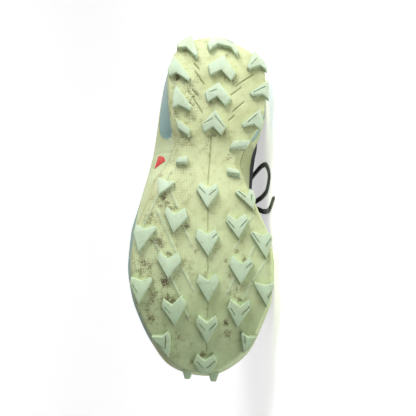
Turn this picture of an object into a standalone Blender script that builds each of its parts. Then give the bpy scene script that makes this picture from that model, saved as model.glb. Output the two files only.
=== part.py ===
"""Left trail running shoe, lying on its medial side with its tread to the front.

Sizes are millimetres in the shoe's own frame: x runs from heel to toe, y towards the
lateral side and z up from the ground that the lugs stand on. Meshes are in metres, and
one empty lays the whole shoe on its side.
"""

import math

import bmesh
import bpy
import numpy as np
from mathutils import Matrix, Vector

MM = 0.001

# Overall sizes
STATIONS = 40
GAP = 0.3
SMOOTH_ANGLE = 40.0
AXIS_NAME = "shoe_axis"

# Sole layers
LUG_HEIGHT = 5.0
LUG_ROOT = 1.5
LUG_DRAFT = 0.92
SHEET = 2.5
EDGE_ROUND = 1.2
LIP = 6.0
LIP_DRAFT = 1.6
WEDGE_END_X = 101.0
WEDGE_END_GAP = 1.5

# Outlines by section: the tread's edge, the rim of the midsole and the foot's own outline
SOLE_COLUMNS = (
    "x", "tread_lat", "tread_med", "rim_lat", "rim_med", "foot_lat", "foot_med",
    "base_z", "rim_z", "wrap",
)
SOLE_ROWS = (
    (0, 4, 4, 3, 3, 3, 3, 15, 40, 3.5),
    (8, 27, -20, 29, -24, 23, -19, 11, 40, 3.5),
    (20, 36, -36, 40, -38, 34, -33, 7.5, 39, 3.5),
    (40, 39.5, -45, 46, -46, 39.5, -40.5, 5, 38, 3.5),
    (65, 36.5, -45.5, 49.5, -46, 42, -40.5, 5, 38, 3.5),
    (85, 32, -40.5, 51.5, -41.6, 43.5, -37.2, 6, 39, 3.5),
    (103, 25, -28, 53.5, -36.2, 45, -32, 8, 40, 4.5),
    (117, 27, -22, 56, -34.7, 46.5, -30.3, 8.5, 40, 6),
    (132, 38.5, -29, 59, -34.7, 48.5, -30.3, 7, 38.5, 7),
    (155, 49.5, -40, 63.5, -43, 53, -38.5, 5, 35, 8),
    (180, 58.5, -51.5, 68, -53.5, 58.5, -48.5, 5, 31, 8),
    (205, 62, -55, 68.5, -58, 60.5, -53, 5, 29, 8),
    (230, 60, -54, 64.5, -56.5, 57, -51.5, 7, 30, 9),
    (255, 51, -46.5, 55, -48.5, 48, -43.5, 13, 34, 10),
    (275, 39.5, -36.5, 43.5, -39, 36.5, -34, 20.5, 39, 10),
    (290, 26, -20.5, 30.5, -23, 24, -18.5, 27.5, 44, 10),
    (298, 0, 0, 0, 0, 0, 0, 31.5, 47, 10),
)
RIM_ENDS = (0.0, 298.0)
TREAD_ENDS = (1.5, 294.5)
FOOT_ENDS = (5.0, 292.0)

# Height of the heel wedge's top
WEDGE_COLUMNS = ("x", "top_z")
WEDGE_ROWS = ((0, 28), (30, 27.5), (62, 26.5), (80, 25.5), (92, 20.5), (104, 14), (115, 12))

# Lugs: corners of each one's face in plan, from the heel to the toe
LUGS = (
    ((1, 21.5), (10, 33.5), (15, 33), (14, 25.5), (23.5, 16.5), (21.5, 14.5)),
    (
        (17, 4), (10, 6.5), (2.5, 2.5), (4, -7.5), (9.5, -17.5), (18, -21), (21, -18.5),
        (13.5, -14), (10, -2),
    ),
    ((17, -35), (33, -29), (35, -31), (31, -40), (35.5, -45.5), (31.5, -47)),
    ((25, 34.5), (36, 40), (42.5, 38.5), (39.5, 32.5), (46.5, 21.5), (43.5, 20)),
    ((22.5, -8), (32, 5), (41, 2.5), (36, -6.5), (45, -15), (38.5, -19.5)),
    ((45, -48), (56, -32.5), (59, -34), (57.5, -43), (62, -48.5), (52, -49.5)),
    ((51, 32), (58.5, 34), (71, 34), (68.5, 29), (73, 19.5), (69.5, 18)),
    ((47.5, -5), (56.5, 6.5), (65, 4), (60, -4), (68.5, -11.5), (61.5, -16)),
    ((70.5, -41.5), (84, -26.5), (87, -27.5), (84, -36.5), (88, -41.5), (81.5, -44.5)),
    ((72.5, -3.5), (85, 8), (92, 6), (87, -1.5), (94, -8.5), (87, -12.5)),
    ((80.5, 31), (89, 28.5), (95, 19.5), (89.5, 17.5)),
    ((99, -19.5), (105, -16.5), (103, -31.5), (98, -33.5)),
    ((116, 25.5), (121.5, 30), (119.5, 20.5), (114, 18)),
    ((123, -15), (126.5, -14.5), (128.5, -26), (125, -25.5)),
    ((132.5, 42), (135.5, 43.5), (148, 42), (137, 29), (135.5, 29.5), (136, 35.5)),
    ((136, 7), (142.5, 10), (157.5, 0), (143.5, -8.5), (136.5, -6.5), (141.5, 1)),
    ((142, -25), (144, -23), (158, -38.5), (144.5, -40), (140, -35), (146, -33.5)),
    ((158, 34), (163.5, 36), (180, 28), (166.5, 16.5), (158.5, 19), (164.5, 27.5)),
    ((162.5, -17.5), (169, -16), (183, -27), (168.5, -34.5), (162, -32), (168, -24.5)),
    ((174, 59.5), (181.5, 61.5), (197.5, 56.5), (178, 43), (175, 44), (178, 52.5)),
    ((176, 7), (183.5, 9), (198.5, -2), (182.5, -10.5), (175.5, -7.5), (181, -1)),
    ((177, -38.5), (179, -37), (199, -50.5), (181.5, -55), (177, -52.5), (180, -47.5)),
    ((196.5, 38), (202.5, 40.5), (218.5, 30.5), (203.5, 20), (196, 23), (202.5, 31)),
    ((198, -22.5), (205.5, -20), (221, -30), (204.5, -40), (198, -37.5), (204.5, -31)),
    ((219, 61.5), (225, 62), (240.5, 54.5), (221, 43.5), (218.5, 45), (221.5, 53)),
    ((214, 4.5), (221, 6.5), (236.5, -3.5), (220.5, -12), (213.5, -9), (219.5, -3)),
    ((219, -42), (221, -41.5), (239, -52.5), (220.5, -58), (219, -57), (221.5, -50.5)),
    ((236, 33.5), (242.5, 35), (257, 24), (240.5, 14.5), (233.5, 19), (241, 26.5)),
    ((234.5, -22.5), (241.5, -20), (256.5, -28.5), (240.5, -39.5), (234, -37), (240, -30.5)),
    ((249, 4), (255.5, 6), (270.5, -3.5), (254.5, -12.5), (248, -10), (254, -3.5)),
    ((267, 43), (269.5, 41.5), (284, 29), (267.5, 27), (263, 29.5), (267, 34)),
    ((261, -32.5), (264, -32), (278.5, -34.5), (264.5, -45.5), (263.5, -44.5), (264.5, -37.5)),
    ((281, 4.5), (287, 7.5), (296, 2), (295.5, -6), (286, -12.5), (280, -9.5), (285.5, -2)),
)
EDGE_OVERHANG = 3.0
EDGE_CUTS = 4

# Nubs on the front of the toe
NUB_SIDES = (12.5, -9.5)
NUB_WIDTH = 8.5
NUB_DEPTH = 7.0
NUB_TIP = 4.5
NUB_LENGTH = 5.0
NUB_RISE = 2.0
NUB_FALL = 0.26
NUB_X = 296.5
NUB_Z = 35.0

# Plain inset in the lateral side of the arch: corners along and up the wall
INSET_X = 115.5
INSET_UP = 0.37
INSET_CORNERS = ((-6.0, 6.5), (-7.0, -0.5), (-1.5, -7.0), (8.0, 6.5))
INSET_DEPTH = 3.0
INSET_SHRINK = 0.93

# Upper: each rib rises from the foot's outline to the collar, the throat or the vamp
WALL = 2.2
ROWS = 8
UPPER_COLUMNS = (
    "x", "top_x", "top_y", "top_z", "rise", "flare", "reach_x", "reach_y", "drop",
)
UPPER_ROWS = (
    (0, 8, 0, 103, 26, 5, 3, 0, 26),
    (6, 11, 15, 102, 26, 4, 2, 2, 26),
    (20, 23, 28, 97, 25, 3, 0, 3, 25),
    (48, 50, 35, 88, 22, 3, 0, 3, 22),
    (85, 80, 36.5, 87, 20, 3, 2, 4, 20),
    (125, 108, 31, 99, 22, 6, 6, 8, 22),
    (152, 120, 24.5, 111, 22, 5, 8, 15, 16),
    (186, 145, 21, 99, 22, 3, 10, 20, 9),
    (218, 169, 17.5, 88, 22, 3, 14, 22, 6),
    (255, 187, 14, 80, 21, 3, 26, 22, 5),
    (283, 196, 8.5, 76.5, 21, 3, 42, 14, 5),
    (298, 199, 0, 75.5, 21, 3, 58, 0, 5),
)

# Eyelets, by the rib that each pair lies on
EYELET_RIBS = (158.0, 173.0, 188.0, 204.0, 221.0, 243.0)
EYELET_UP = 0.9
EYELET_DIAMETER = 4.0

# Tongue, from under the vamp to its top: x, z, half width, drop of the edges and thickness
TONGUE_ROWS = (
    (208, 68.2, 15, 7, 3),
    (197, 73.7, 21, 11, 3.5),
    (187, 78.4, 24, 13, 4.5),
    (169, 88.0, 26, 13, 5),
    (145, 100.5, 28, 14, 5.5),
    (121, 112.5, 25, 13, 6),
    (107, 120.5, 23.5, 12, 6),
    (97, 127.0, 23, 11, 5),
)
TONGUE_POWER = 2.5
TONGUE_STEPS = 8

# Insole
INSOLE_THICKNESS = 4.0

# Lace: a flat band
LACE_WIDTH = 6.0
LACE_THICKNESS = 1.8
LACE_LIFT = 1.8
LACE_CROWN = 4.5
OVERLAP = 0.2
THROAT_UP = Vector((0.41, 0.0, 0.91))
LACE_PROFILE = ((-0.5, 0.0), (-0.32, 0.5), (0.32, 0.5), (0.5, 0.0), (0.32, -0.5), (-0.32, -0.5))

# Knot, loops and ends of the bow; the routes are where they lie on the floor
KNOT_AT = Vector((120.9, 0.0, 117.5))
KNOT_SIZE = (12.0, 12.0, 8.0)
CORD_DIAMETER = 3.0
CORD_STEP = 7.0
CORD_ROUTES = {
    "lace_loop_1": (
        (30.1, 58.9, 26.3), (31.5, 59.9, 21.9), (33, 60, 15), (34.5, 57, 7), (36, 50, 2.6),
        (37, 42, 1.6), (38, 28, 1.6), (39, 8, 1.6), (39, -12, 1.6), (36, -28, 1.6), (25, -38, 1.6),
        (14, -29, 1.6), (11, -12, 1.6), (11, 8, 1.6), (12, 28, 1.6), (13.5, 42, 1.6), (15, 50, 2.6),
        (17, 57, 7), (19, 59.5, 15), (21.6, 57.8, 22.5), (24.4, 56.3, 27.2),
    ),
    "lace_end_1": (
        (24.2, 59.8, 29), (21.1, 62.7, 26.9), (17.5, 65.5, 21.5), (14.5, 66, 14), (12, 62, 7),
        (10, 54, 2.7), (8.5, 44, 1.7), (6, 26, 1.6), (1, 5, 1.6), (-4, -16, 1.6), (-5, -36, 1.6),
        (2, -52, 1.6),
    ),
    "lace_loop_2": (
        (29.7, 62.6, 34.8), (30.1, 67.1, 36.2), (27, 72.5, 36), (19, 77, 33), (8, 79.5, 26),
        (-4, 80.5, 17), (-16, 79, 8), (-28, 75, 3), (-41, 68, 1.6), (-49, 56, 1.6), (-43, 44, 1.6),
        (-30, 41, 1.6), (-19, 48, 1.6), (-11, 57, 2.8), (-3, 64, 10), (5, 67, 21), (13, 66.5, 31),
        (20.6, 63.1, 36.8), (24, 60.1, 35.7),
    ),
    "lace_end_2": (
        (31.7, 62.1, 30.3), (33.5, 66.2, 28.9), (38, 71, 25), (45, 75.5, 17), (53, 77.5, 9),
        (62, 77.5, 3.5), (72, 75, 1.7), (84, 71, 1.6), (97, 68, 1.6), (110, 69, 1.6),
    ),
}

# How the shoe lies on its medial side
LIE_TURN = (102.5, -3.4, 180.0)
LIE_AT = (150.0, -56.6, 50.3)


def table(columns, rows):
    """Return the columns of a table by name."""
    return dict(zip(columns, np.array(rows, dtype=float).T))


SOLE = table(SOLE_COLUMNS, SOLE_ROWS)
WEDGE = table(WEDGE_COLUMNS, WEDGE_ROWS)
UPPER = table(UPPER_COLUMNS, UPPER_ROWS)


def hermite(at, knots, values, slopes):
    """Read a cubic curve through points with given slopes."""
    cell = np.clip(np.searchsorted(knots, at, side="right") - 1, 0, len(knots) - 2)
    span = knots[cell + 1] - knots[cell]
    u = (at - knots[cell]) / span
    return (
        (2 * u**3 - 3 * u**2 + 1) * values[cell]
        + (u**3 - 2 * u**2 + u) * span * slopes[cell]
        + (3 * u**2 - 2 * u**3) * values[cell + 1]
        + (u**3 - u**2) * span * slopes[cell + 1]
    )


def smooth(at, knots, values):
    """Read a curve through a table's points that stays flat where they are level."""
    rates = np.diff(values) / np.diff(knots)
    before, after = rates[:-1], rates[1:]
    rising = before * after > 0
    inner = np.where(rising, 2 * before * after / np.where(rising, before + after, 1.0), 0.0)
    return hermite(at, knots, values, np.concatenate((rates[:1], inner, rates[-1:])))


def station_of(x, ends=RIM_ENDS):
    """Return the share of the way round from heel to toe at a section of an outline."""
    share = (np.asarray(x, dtype=float) - ends[0]) / (ends[1] - ends[0])
    return np.arccos(1 - 2 * np.clip(share, 0, 1)) / math.pi


def along(ends, s):
    """Return x at a station for an outline with these ends."""
    return ends[0] + (ends[1] - ends[0]) * (1 - np.cos(math.pi * s)) / 2


def read(columns, name, s):
    """Read one column of a table at stations round the shoe."""
    return smooth(s, station_of(columns["x"]), columns[name])


STEPS = np.arange(2 * STATIONS)
LATERAL = STEPS <= STATIONS
SIGN = np.where(LATERAL, 1.0, -1.0)
ROUND = np.where(LATERAL, STEPS, 2 * STATIONS - STEPS) / STATIONS


def outline(name, ends):
    """Return one of the sole's outlines in plan: heel, lateral side, toe, medial side."""
    lateral = read(SOLE, name + "_lat", ROUND)
    medial = read(SOLE, name + "_med", ROUND)
    return np.column_stack((along(ends, ROUND), np.where(LATERAL, lateral, medial)))


def outward(loop):
    """Return unit normals in plan that point away from the middle of an outline."""
    step = np.roll(loop[:, :2], -1, axis=0) - np.roll(loop[:, :2], 1, axis=0)
    normal = np.column_stack((-step[:, 1], step[:, 0]))
    return normal / np.linalg.norm(normal, axis=1)[:, None]


TREAD = outline("tread", TREAD_ENDS)
RIM = outline("rim", RIM_ENDS)
FOOT = outline("foot", FOOT_ENDS)
BASE_Z = read(SOLE, "base_z", ROUND)
RIM_Z = read(SOLE, "rim_z", ROUND)
WRAP_Z = BASE_Z + read(SOLE, "wrap", ROUND)
WEDGE_Z = read(WEDGE, "top_z", ROUND)
WEDGE_LAST = int(np.searchsorted(along(RIM_ENDS, ROUND[LATERAL]), WEDGE_END_X))


def raised(plan, z):
    """Return an outline in plan at heights."""
    return np.column_stack((plan[:, 0], plan[:, 1], z * np.ones(len(plan))))


def wall(z, inset=0.0, lift=0.0):
    """Return the loop of the sole's side wall at heights, moved in and then lifted."""
    share = np.clip((z - BASE_Z) / (RIM_Z - BASE_Z), 0, 1)
    share = (1 - (1 - share) ** 2)[:, None]
    loop = TREAD + (RIM - TREAD) * share
    return raised(loop - outward(loop) * np.reshape(inset, (-1, 1)), z + lift)


def foot(z, inset=0.0):
    """Return the loop of the foot's outline at heights, moved in by an inset."""
    return raised(FOOT - outward(FOOT) * inset, z)


def ribs():
    """Return the rows of the upper's outer face from the sole up to its top edge."""
    start = foot(RIM_Z - LIP + GAP)
    out = np.column_stack((outward(FOOT), np.zeros(len(FOOT))))
    column = {name: read(UPPER, name, ROUND) for name in UPPER_COLUMNS[1:]}
    up = np.array((0.0, 0.0, 1.0))
    top = np.column_stack((column["top_x"], SIGN * column["top_y"], column["top_z"]))
    reach = np.column_stack((column["reach_x"], SIGN * column["reach_y"], -column["drop"]))
    low = start + up * column["rise"][:, None] + out * column["flare"][:, None]
    high = top + reach
    return np.array([
        start * (1 - v) ** 3 + low * 3 * v * (1 - v) ** 2 + high * 3 * v**2 * (1 - v) + top * v**3
        for v in np.linspace(0, 1, ROWS + 1)
    ])


RIBS = ribs()


def on_upper(x, side, up):
    """Return a point on the upper's outer face by its rib, side and share of the rib."""
    place = float(station_of(x)) * STATIONS
    cell = int(place)
    row = min(int(up * ROWS), ROWS - 1)
    u = place - cell
    v = up * ROWS - row
    low, high = (RIBS[row + k] for k in (0, 1))
    first, second = side * cell, side * (cell + 1)
    return Vector(
        (low[first] * (1 - u) + low[second] * u) * (1 - v)
        + (high[first] * (1 - u) + high[second] * u) * v
    )


def upper_normal(x, side, up):
    """Return the outward normal of the upper's outer face."""
    ahead = on_upper(x + 2, side, up) - on_upper(x - 2, side, up)
    rise = on_upper(x, side, min(up + 0.05, 1.0)) - on_upper(x, side, up - 0.05)
    return (rise.cross(ahead) * side).normalized()


def collection(name):
    """Add a collection to the scene."""
    group = bpy.data.collections.new(name)
    bpy.context.scene.collection.children.link(group)
    return group


def material(name, colour, roughness):
    """Make one plain finish."""
    finish = bpy.data.materials.new(name)
    finish.use_nodes = True
    shader = finish.node_tree.nodes["Principled BSDF"]
    shader.inputs["Base Color"].default_value = (*colour, 1.0)
    shader.inputs["Roughness"].default_value = roughness
    shader.inputs["Metallic"].default_value = 0.0
    return finish


def add_object(name, bm, finish, group):
    """Turn a bmesh in millimetres into an object that lies with the shoe."""
    bmesh.ops.scale(bm, vec=(MM, MM, MM), verts=bm.verts)
    mesh = bpy.data.meshes.new(name)
    bm.to_mesh(mesh)
    bm.free()
    mesh.materials.append(finish)
    mesh.shade_smooth()
    mesh.set_sharp_from_angle(angle=math.radians(SMOOTH_ANGLE))
    obj = bpy.data.objects.new(name, mesh)
    group.objects.link(obj)
    obj.parent = bpy.data.objects[AXIS_NAME]
    return obj


def skin(bm, loops):
    """Join closed loops of points with quads and return their vertices."""
    rings = [[bm.verts.new(point) for point in loop] for loop in loops]
    for low, high in zip(rings, rings[1:]):
        for i in range(len(low)):
            bm.faces.new((low[i], low[i - 1], high[i - 1], high[i]))
    return rings


def loft(loops):
    """Loft a closed solid through loops, with a flat face at each end."""
    bm = bmesh.new()
    rings = skin(bm, loops)
    bm.faces.new(rings[0])
    bm.faces.new(rings[-1])
    bmesh.ops.recalc_face_normals(bm, faces=bm.faces)
    return bm


def layer(loops):
    """Loft a closed layer of the sole, with rungs across its top and bottom."""
    bm = bmesh.new()
    rings = skin(bm, loops)
    for ring in (rings[0], rings[-1]):
        for i in range(len(ring) // 2):
            corners = (ring[i], ring[i + 1], ring[-i - 1], ring[-i])
            bm.faces.new(dict.fromkeys(corners))
    bmesh.ops.recalc_face_normals(bm, faces=bm.faces)
    return bm


def tools(name, meshes, finish):
    """Keep the tools of one Boolean in a collection that isn't rendered."""
    group = collection(name)
    for bm in meshes:
        tool = add_object(name, bm, finish, group)
        tool.hide_render = True
        tool.display_type = "WIRE"
    group.hide_render = True
    return group


def combine(obj, operation, group):
    """Add or cut away everything in a collection."""
    modifier = obj.modifiers.new(operation.lower(), "BOOLEAN")
    modifier.operation = operation
    modifier.solver = "EXACT"
    modifier.operand_type = "COLLECTION"
    modifier.collection = group


def base_height(x):
    """Return the height of the tread's base at a section."""
    return float(read(SOLE, "base_z", station_of(x, TREAD_ENDS)))


def trim(bm):
    """Cut a lug off where it passes the tread's edge."""
    normals = outward(TREAD)
    for _ in range(EDGE_CUTS):
        corners = np.array([vert.co[:2] for vert in bm.verts])
        near = np.argmin(np.linalg.norm(corners[:, None] - TREAD[None], axis=2), axis=1)
        excess = np.sum((corners - TREAD[near]) * normals[near], axis=1)
        worst = near[np.argmax(excess)]
        if excess.max() < EDGE_OVERHANG + GAP:
            return
        bmesh.ops.bisect_plane(
            bm, geom=bm.verts[:] + bm.edges[:] + bm.faces[:], clear_outer=True,
            plane_co=(*(TREAD[worst] + normals[worst] * EDGE_OVERHANG), 0.0),
            plane_no=(*normals[worst], 0.0),
        )
        bmesh.ops.holes_fill(bm, edges=[edge for edge in bm.edges if edge.is_boundary])


def lug(corners):
    """Make one lug square to the tread from the corners of its face."""
    x, y = np.mean(corners, axis=0)
    slope = (base_height(x + 3) - base_height(x - 3)) / 6
    lean = Matrix.Rotation(-math.atan(slope), 4, "Y")
    root_x = x - (lean @ Vector((0.0, 0.0, -LUG_HEIGHT))).x
    place = Matrix.Translation((root_x, y, base_height(root_x))) @ lean
    face = [((a - x) / lean[0][0], b - y) for a, b in corners]
    loops = []
    for depth, draft in ((LUG_ROOT, LUG_DRAFT), (-LUG_HEIGHT, 1.0)):
        loops.append([place @ Vector((a / draft, b / draft, depth)) for a, b in face])
    for point in loops[1]:
        point.z = max(point.z, 0.0)
    bm = loft(loops)
    trim(bm)
    return bm


def nub(y):
    """Make one nub on the front of the toe."""
    square = ((-0.5, -0.5), (0.5, -0.5), (0.5, 0.5), (-0.5, 0.5))
    front = NUB_X + NUB_LENGTH - abs(y) * NUB_FALL
    root = [(NUB_X - abs(y) * NUB_FALL, y + j * NUB_WIDTH, NUB_Z + k * NUB_DEPTH) for j, k in square]
    tip = [(front, y + j * NUB_TIP, NUB_Z + NUB_RISE + k * NUB_TIP) for j, k in square]
    return loft((root, tip))


def make_outsole(group, finish):
    """Rubber sheet that wraps up the arch and the toe, with its lugs."""
    bm = layer((
        wall(BASE_Z, EDGE_ROUND),
        wall(BASE_Z + EDGE_ROUND),
        wall(WRAP_Z),
        wall(WRAP_Z, SHEET),
        wall(BASE_Z + SHEET, SHEET),
    ))
    outsole = add_object("outsole", bm, finish, group)
    studs = [lug(corners) for corners in LUGS] + [nub(y) for y in NUB_SIDES]
    combine(outsole, "UNION", tools("lugs", studs, finish))


def make_wedge(group, finish):
    """Firm wedge under the heel that runs out at the arch."""
    order = np.roll(STEPS, WEDGE_LAST)[: 2 * WEDGE_LAST + 1]
    loops = (
        wall(BASE_Z + SHEET, SHEET + GAP, GAP),
        wall(WRAP_Z, SHEET + GAP, GAP),
        wall(WRAP_Z, 0.0, GAP),
        wall((WRAP_Z + WEDGE_Z) / 2),
        wall(WEDGE_Z),
    )
    loops = [loop[order] for loop in loops]
    for loop in loops:
        loop[[0, -1], 0] -= WEDGE_END_GAP
    bm = bmesh.new()
    rings = skin(bm, loops)
    for ring in (rings[0], rings[-1]):
        for i in range(WEDGE_LAST):
            corners = (ring[i], ring[i + 1], ring[-i - 2], ring[-i - 1])
            bm.faces.new(dict.fromkeys(corners))
    bmesh.ops.recalc_face_normals(bm, faces=bm.faces)
    add_object("heel_wedge", bm, finish, group)


def side_point(s, share):
    """Return a point on the lateral side wall at a station and a share of its height."""
    blend = 1 - (1 - share) ** 2
    low_x, high_x = along(TREAD_ENDS, s), along(RIM_ENDS, s)
    low_y, high_y = read(SOLE, "tread_lat", s), read(SOLE, "rim_lat", s)
    low_z, high_z = read(SOLE, "base_z", s), read(SOLE, "rim_z", s)
    return Vector((
        low_x + (high_x - low_x) * blend,
        low_y + (high_y - low_y) * blend,
        low_z + (high_z - low_z) * share,
    ))


def side_frame(x, share):
    """Return a frame on the lateral side wall: along it, up it and out of it."""
    s = float(station_of(x))
    forward = (side_point(s + 0.01, share) - side_point(s - 0.01, share)).normalized()
    upward = side_point(s, share + 0.05) - side_point(s, share - 0.05)
    out = upward.cross(forward).normalized()
    frame = Matrix((forward, forward.cross(out), out)).transposed().to_4x4()
    return Matrix.Translation(side_point(s, share)) @ frame


def inset_block(shrink, low, high):
    """Make the inset's shape between two depths, smaller all round by a clearance."""
    frame = side_frame(INSET_X, INSET_UP)
    middle = np.mean(INSET_CORNERS, axis=0)
    corners = [middle + (np.array(corner) - middle) * shrink for corner in INSET_CORNERS]
    return loft([[frame @ Vector((*corner, depth)) for corner in corners] for depth in (low, high)])


def make_midsole(group, finish, inset_finish):
    """Foam midsole with a lip round the foot, and the plain inset in its side."""
    heel = ROUND <= WEDGE_LAST / STATIONS
    floor_z = np.where(heel, WEDGE_Z, BASE_Z + SHEET)
    ledge_z = np.where(heel, WEDGE_Z + GAP, WRAP_Z)
    inset = np.where(ROUND < WEDGE_LAST / STATIONS, 0.0, SHEET) + 2 * GAP
    bm = layer((
        wall(floor_z, inset, 2 * GAP),
        wall(ledge_z, inset, 3 * GAP),
        wall(ledge_z, 0.0, GAP),
        wall((ledge_z + RIM_Z) / 2),
        wall(RIM_Z - EDGE_ROUND),
        wall(RIM_Z, EDGE_ROUND),
        foot(RIM_Z, -LIP_DRAFT),
        foot(RIM_Z - LIP, -GAP),
    ))
    midsole = add_object("midsole", bm, finish, group)
    pocket = inset_block(1.0, -INSET_DEPTH, INSET_DEPTH)
    combine(midsole, "DIFFERENCE", tools("inset_pocket", [pocket], finish))
    inset = inset_block(INSET_SHRINK, GAP - INSET_DEPTH, 0.0)
    add_object("arch_inset", inset, inset_finish, group)


def make_upper(group, finish):
    """Hollow upper, open at the collar, along the throat and underneath."""
    bm = bmesh.new()
    skin(bm, RIBS)
    upper = add_object("upper", bm, finish, group)
    shell = upper.modifiers.new("wall", "SOLIDIFY")
    shell.thickness = WALL * MM
    shell.offset = -1.0
    shell.use_even_offset = True
    holes = []
    for x in EYELET_RIBS:
        for side in (1, -1):
            bm = bmesh.new()
            place = Matrix.Translation(on_upper(x, side, EYELET_UP))
            turn = upper_normal(x, side, EYELET_UP).to_track_quat("Z", "Y").to_matrix().to_4x4()
            bmesh.ops.create_cone(
                bm, cap_ends=True, segments=10, radius1=EYELET_DIAMETER / 2,
                radius2=EYELET_DIAMETER / 2, depth=4 * WALL, matrix=place @ turn,
            )
            holes.append(bm)
    combine(upper, "DIFFERENCE", tools("eyelet_holes", holes, finish))


def make_tongue(group, finish):
    """Padded tongue from under the vamp to above the collar."""
    across = np.linspace(-1, 1, TONGUE_STEPS + 1)
    loops = []
    for x, z, half_width, drop, thickness in TONGUE_ROWS:
        top_z = z - drop * np.abs(across) ** TONGUE_POWER
        under_z = top_z - thickness * (1 - 0.5 * across**2)
        top = [(x, half_width * k, height) for k, height in zip(across, top_z)]
        under = [(x, half_width * k, height) for k, height in zip(across, under_z)]
        loops.append(top + under[::-1])
    add_object("tongue", loft(loops), finish, group)


def make_insole(group, finish):
    """Footbed inside the upper."""
    low = RIM_Z - LIP + GAP
    inset = WALL + 2 * GAP
    bm = layer((
        foot(low, inset),
        foot(low + INSOLE_THICKNESS - EDGE_ROUND, inset),
        foot(low + INSOLE_THICKNESS, inset + EDGE_ROUND),
    ))
    add_object("insole", bm, finish, group)


def band(points, ups):
    """Sweep the flat lace through points, its broad face square to the given directions."""
    loops = []
    for i, (point, up) in enumerate(zip(points, ups)):
        ahead = points[min(i + 1, len(points) - 1)] - points[max(i - 1, 0)]
        across = ahead.cross(up).normalized()
        rise = across.cross(ahead).normalized()
        wide, thick = across * LACE_WIDTH, rise * LACE_THICKNESS
        loops.append([point + wide * a + thick * b for a, b in LACE_PROFILE])
    return loft(loops)


def strand(first, second, side):
    """Lay one strand of the lacing across the throat between two eyelets."""
    points = []
    ups = []
    for x, hand, up in (
        (first, side, EYELET_UP),
        (first + (second - first) * 0.15, side, 0.98),
        (second + (first - second) * 0.15, -side, 0.98),
        (second, -side, EYELET_UP),
    ):
        normal = upper_normal(x, hand, up)
        points.append(on_upper(x, hand, up) + normal * LACE_LIFT)
        ups.append(normal)
    crown = LACE_CROWN + LACE_THICKNESS * OVERLAP * side
    points.insert(2, (points[1] + points[2]) / 2 + THROAT_UP * crown)
    ups.insert(2, THROAT_UP)
    return band(points, ups)


def make_lacing(group, finish):
    """Lacing: a bar at the bottom pair of eyelets and crossings up to the top pair."""
    bar = strand(EYELET_RIBS[-1], EYELET_RIBS[-1], 1)
    crossings = [strand(low, high, side)
                 for low, high in zip(EYELET_RIBS[1:], EYELET_RIBS) for side in (1, -1)]
    lacing = add_object("lace_crossings", bar, finish, group)
    combine(lacing, "UNION", tools("lace_strands", crossings, finish))


def make_knot(group, finish):
    """Knot of the bow on top of the tongue."""
    bm = bmesh.new()
    turn = THROAT_UP.to_track_quat("Z", "Y").to_matrix().to_4x4()
    place = Matrix.Translation(KNOT_AT) @ turn @ Matrix.Diagonal((*KNOT_SIZE, 1.0))
    bmesh.ops.create_uvsphere(bm, u_segments=12, v_segments=7, radius=0.5, matrix=place)
    add_object("lace_knot", bm, finish, group)


def make_cord(name, route, group, finish):
    """Lay one free run of the lace along its route, as a plain tube."""
    route = np.array(route, dtype=float)
    runs = np.concatenate(((0.0,), np.cumsum(np.linalg.norm(np.diff(route, axis=0), axis=1))))
    count = round(runs[-1] / CORD_STEP) + 1
    slopes = np.gradient(route, runs, axis=0)
    steps = np.linspace(0.0, runs[-1], count)
    points = [hermite(steps, runs, route[:, k], slopes[:, k]) for k in range(3)]
    curve = bpy.data.curves.new(name, "CURVE")
    curve.dimensions = "3D"
    curve.bevel_depth = CORD_DIAMETER / 2 * MM
    curve.bevel_resolution = 2
    curve.use_fill_caps = True
    spline = curve.splines.new("POLY")
    spline.points.add(count - 1)
    for point, place in zip(spline.points, np.transpose(points)):
        point.co = (*(place * MM), 1.0)
    curve.materials.append(finish)
    group.objects.link(bpy.data.objects.new(name, curve))


def main():
    """Build the shoe and lay it on its side."""
    for obj in list(bpy.data.objects):
        bpy.data.objects.remove(obj)
    group = collection("trail_shoe")
    axis = bpy.data.objects.new(AXIS_NAME, None)
    group.objects.link(axis)
    make_outsole(group, material("outsole_rubber", (0.578, 0.67, 0.46), 0.6))
    make_wedge(group, material("wedge_plastic", (0.266, 0.397, 0.337), 0.5))
    make_midsole(
        group,
        material("midsole_foam", (0.58, 0.7, 0.5), 0.6),
        material("inset_rubber", (0.658, 0.095, 0.078), 0.45),
    )
    textile = material("upper_textile", (0.021, 0.03, 0.028), 0.8)
    make_upper(group, textile)
    make_tongue(group, textile)
    make_insole(group, material("insole_foam", (0.05, 0.055, 0.055), 0.85))
    lace = material("lace_textile", (0.037, 0.05, 0.044), 0.8)
    make_lacing(group, lace)
    make_knot(group, lace)
    for name, route in CORD_ROUTES.items():
        make_cord(name, route, group, lace)
    axis.rotation_euler = [math.radians(angle) for angle in LIE_TURN]
    axis.location = Vector(LIE_AT) * MM


main()
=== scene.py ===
"""Left trail running shoe, lying on its medial side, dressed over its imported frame.

Lengths in the tables are millimetres in the shoe's own frame: x runs from heel to toe, y
towards the lateral side and z up from the ground that the lugs stand on. Each piece is
modelled there and then laid on its side with the frame.
"""

import math

import bmesh
import bpy
import numpy as np
from bpy.props import FloatProperty, FloatVectorProperty, PointerProperty
from mathutils import Euler, Matrix, Vector


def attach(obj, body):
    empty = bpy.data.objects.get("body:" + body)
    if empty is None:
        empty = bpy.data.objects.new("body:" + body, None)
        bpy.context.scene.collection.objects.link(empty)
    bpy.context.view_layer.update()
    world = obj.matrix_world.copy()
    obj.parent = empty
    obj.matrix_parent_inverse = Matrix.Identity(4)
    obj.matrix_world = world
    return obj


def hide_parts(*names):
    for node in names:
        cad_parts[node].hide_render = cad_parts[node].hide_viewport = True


bl_info = {
    "name": "Trail Running Shoe",
    "version": (1, 0, 0),
    "blender": (4, 5, 0),
    "location": "View3D > Sidebar > Shoe",
    "description": "Dresses the packed frame of a trail running shoe",
    "category": "Object",
}

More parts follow.
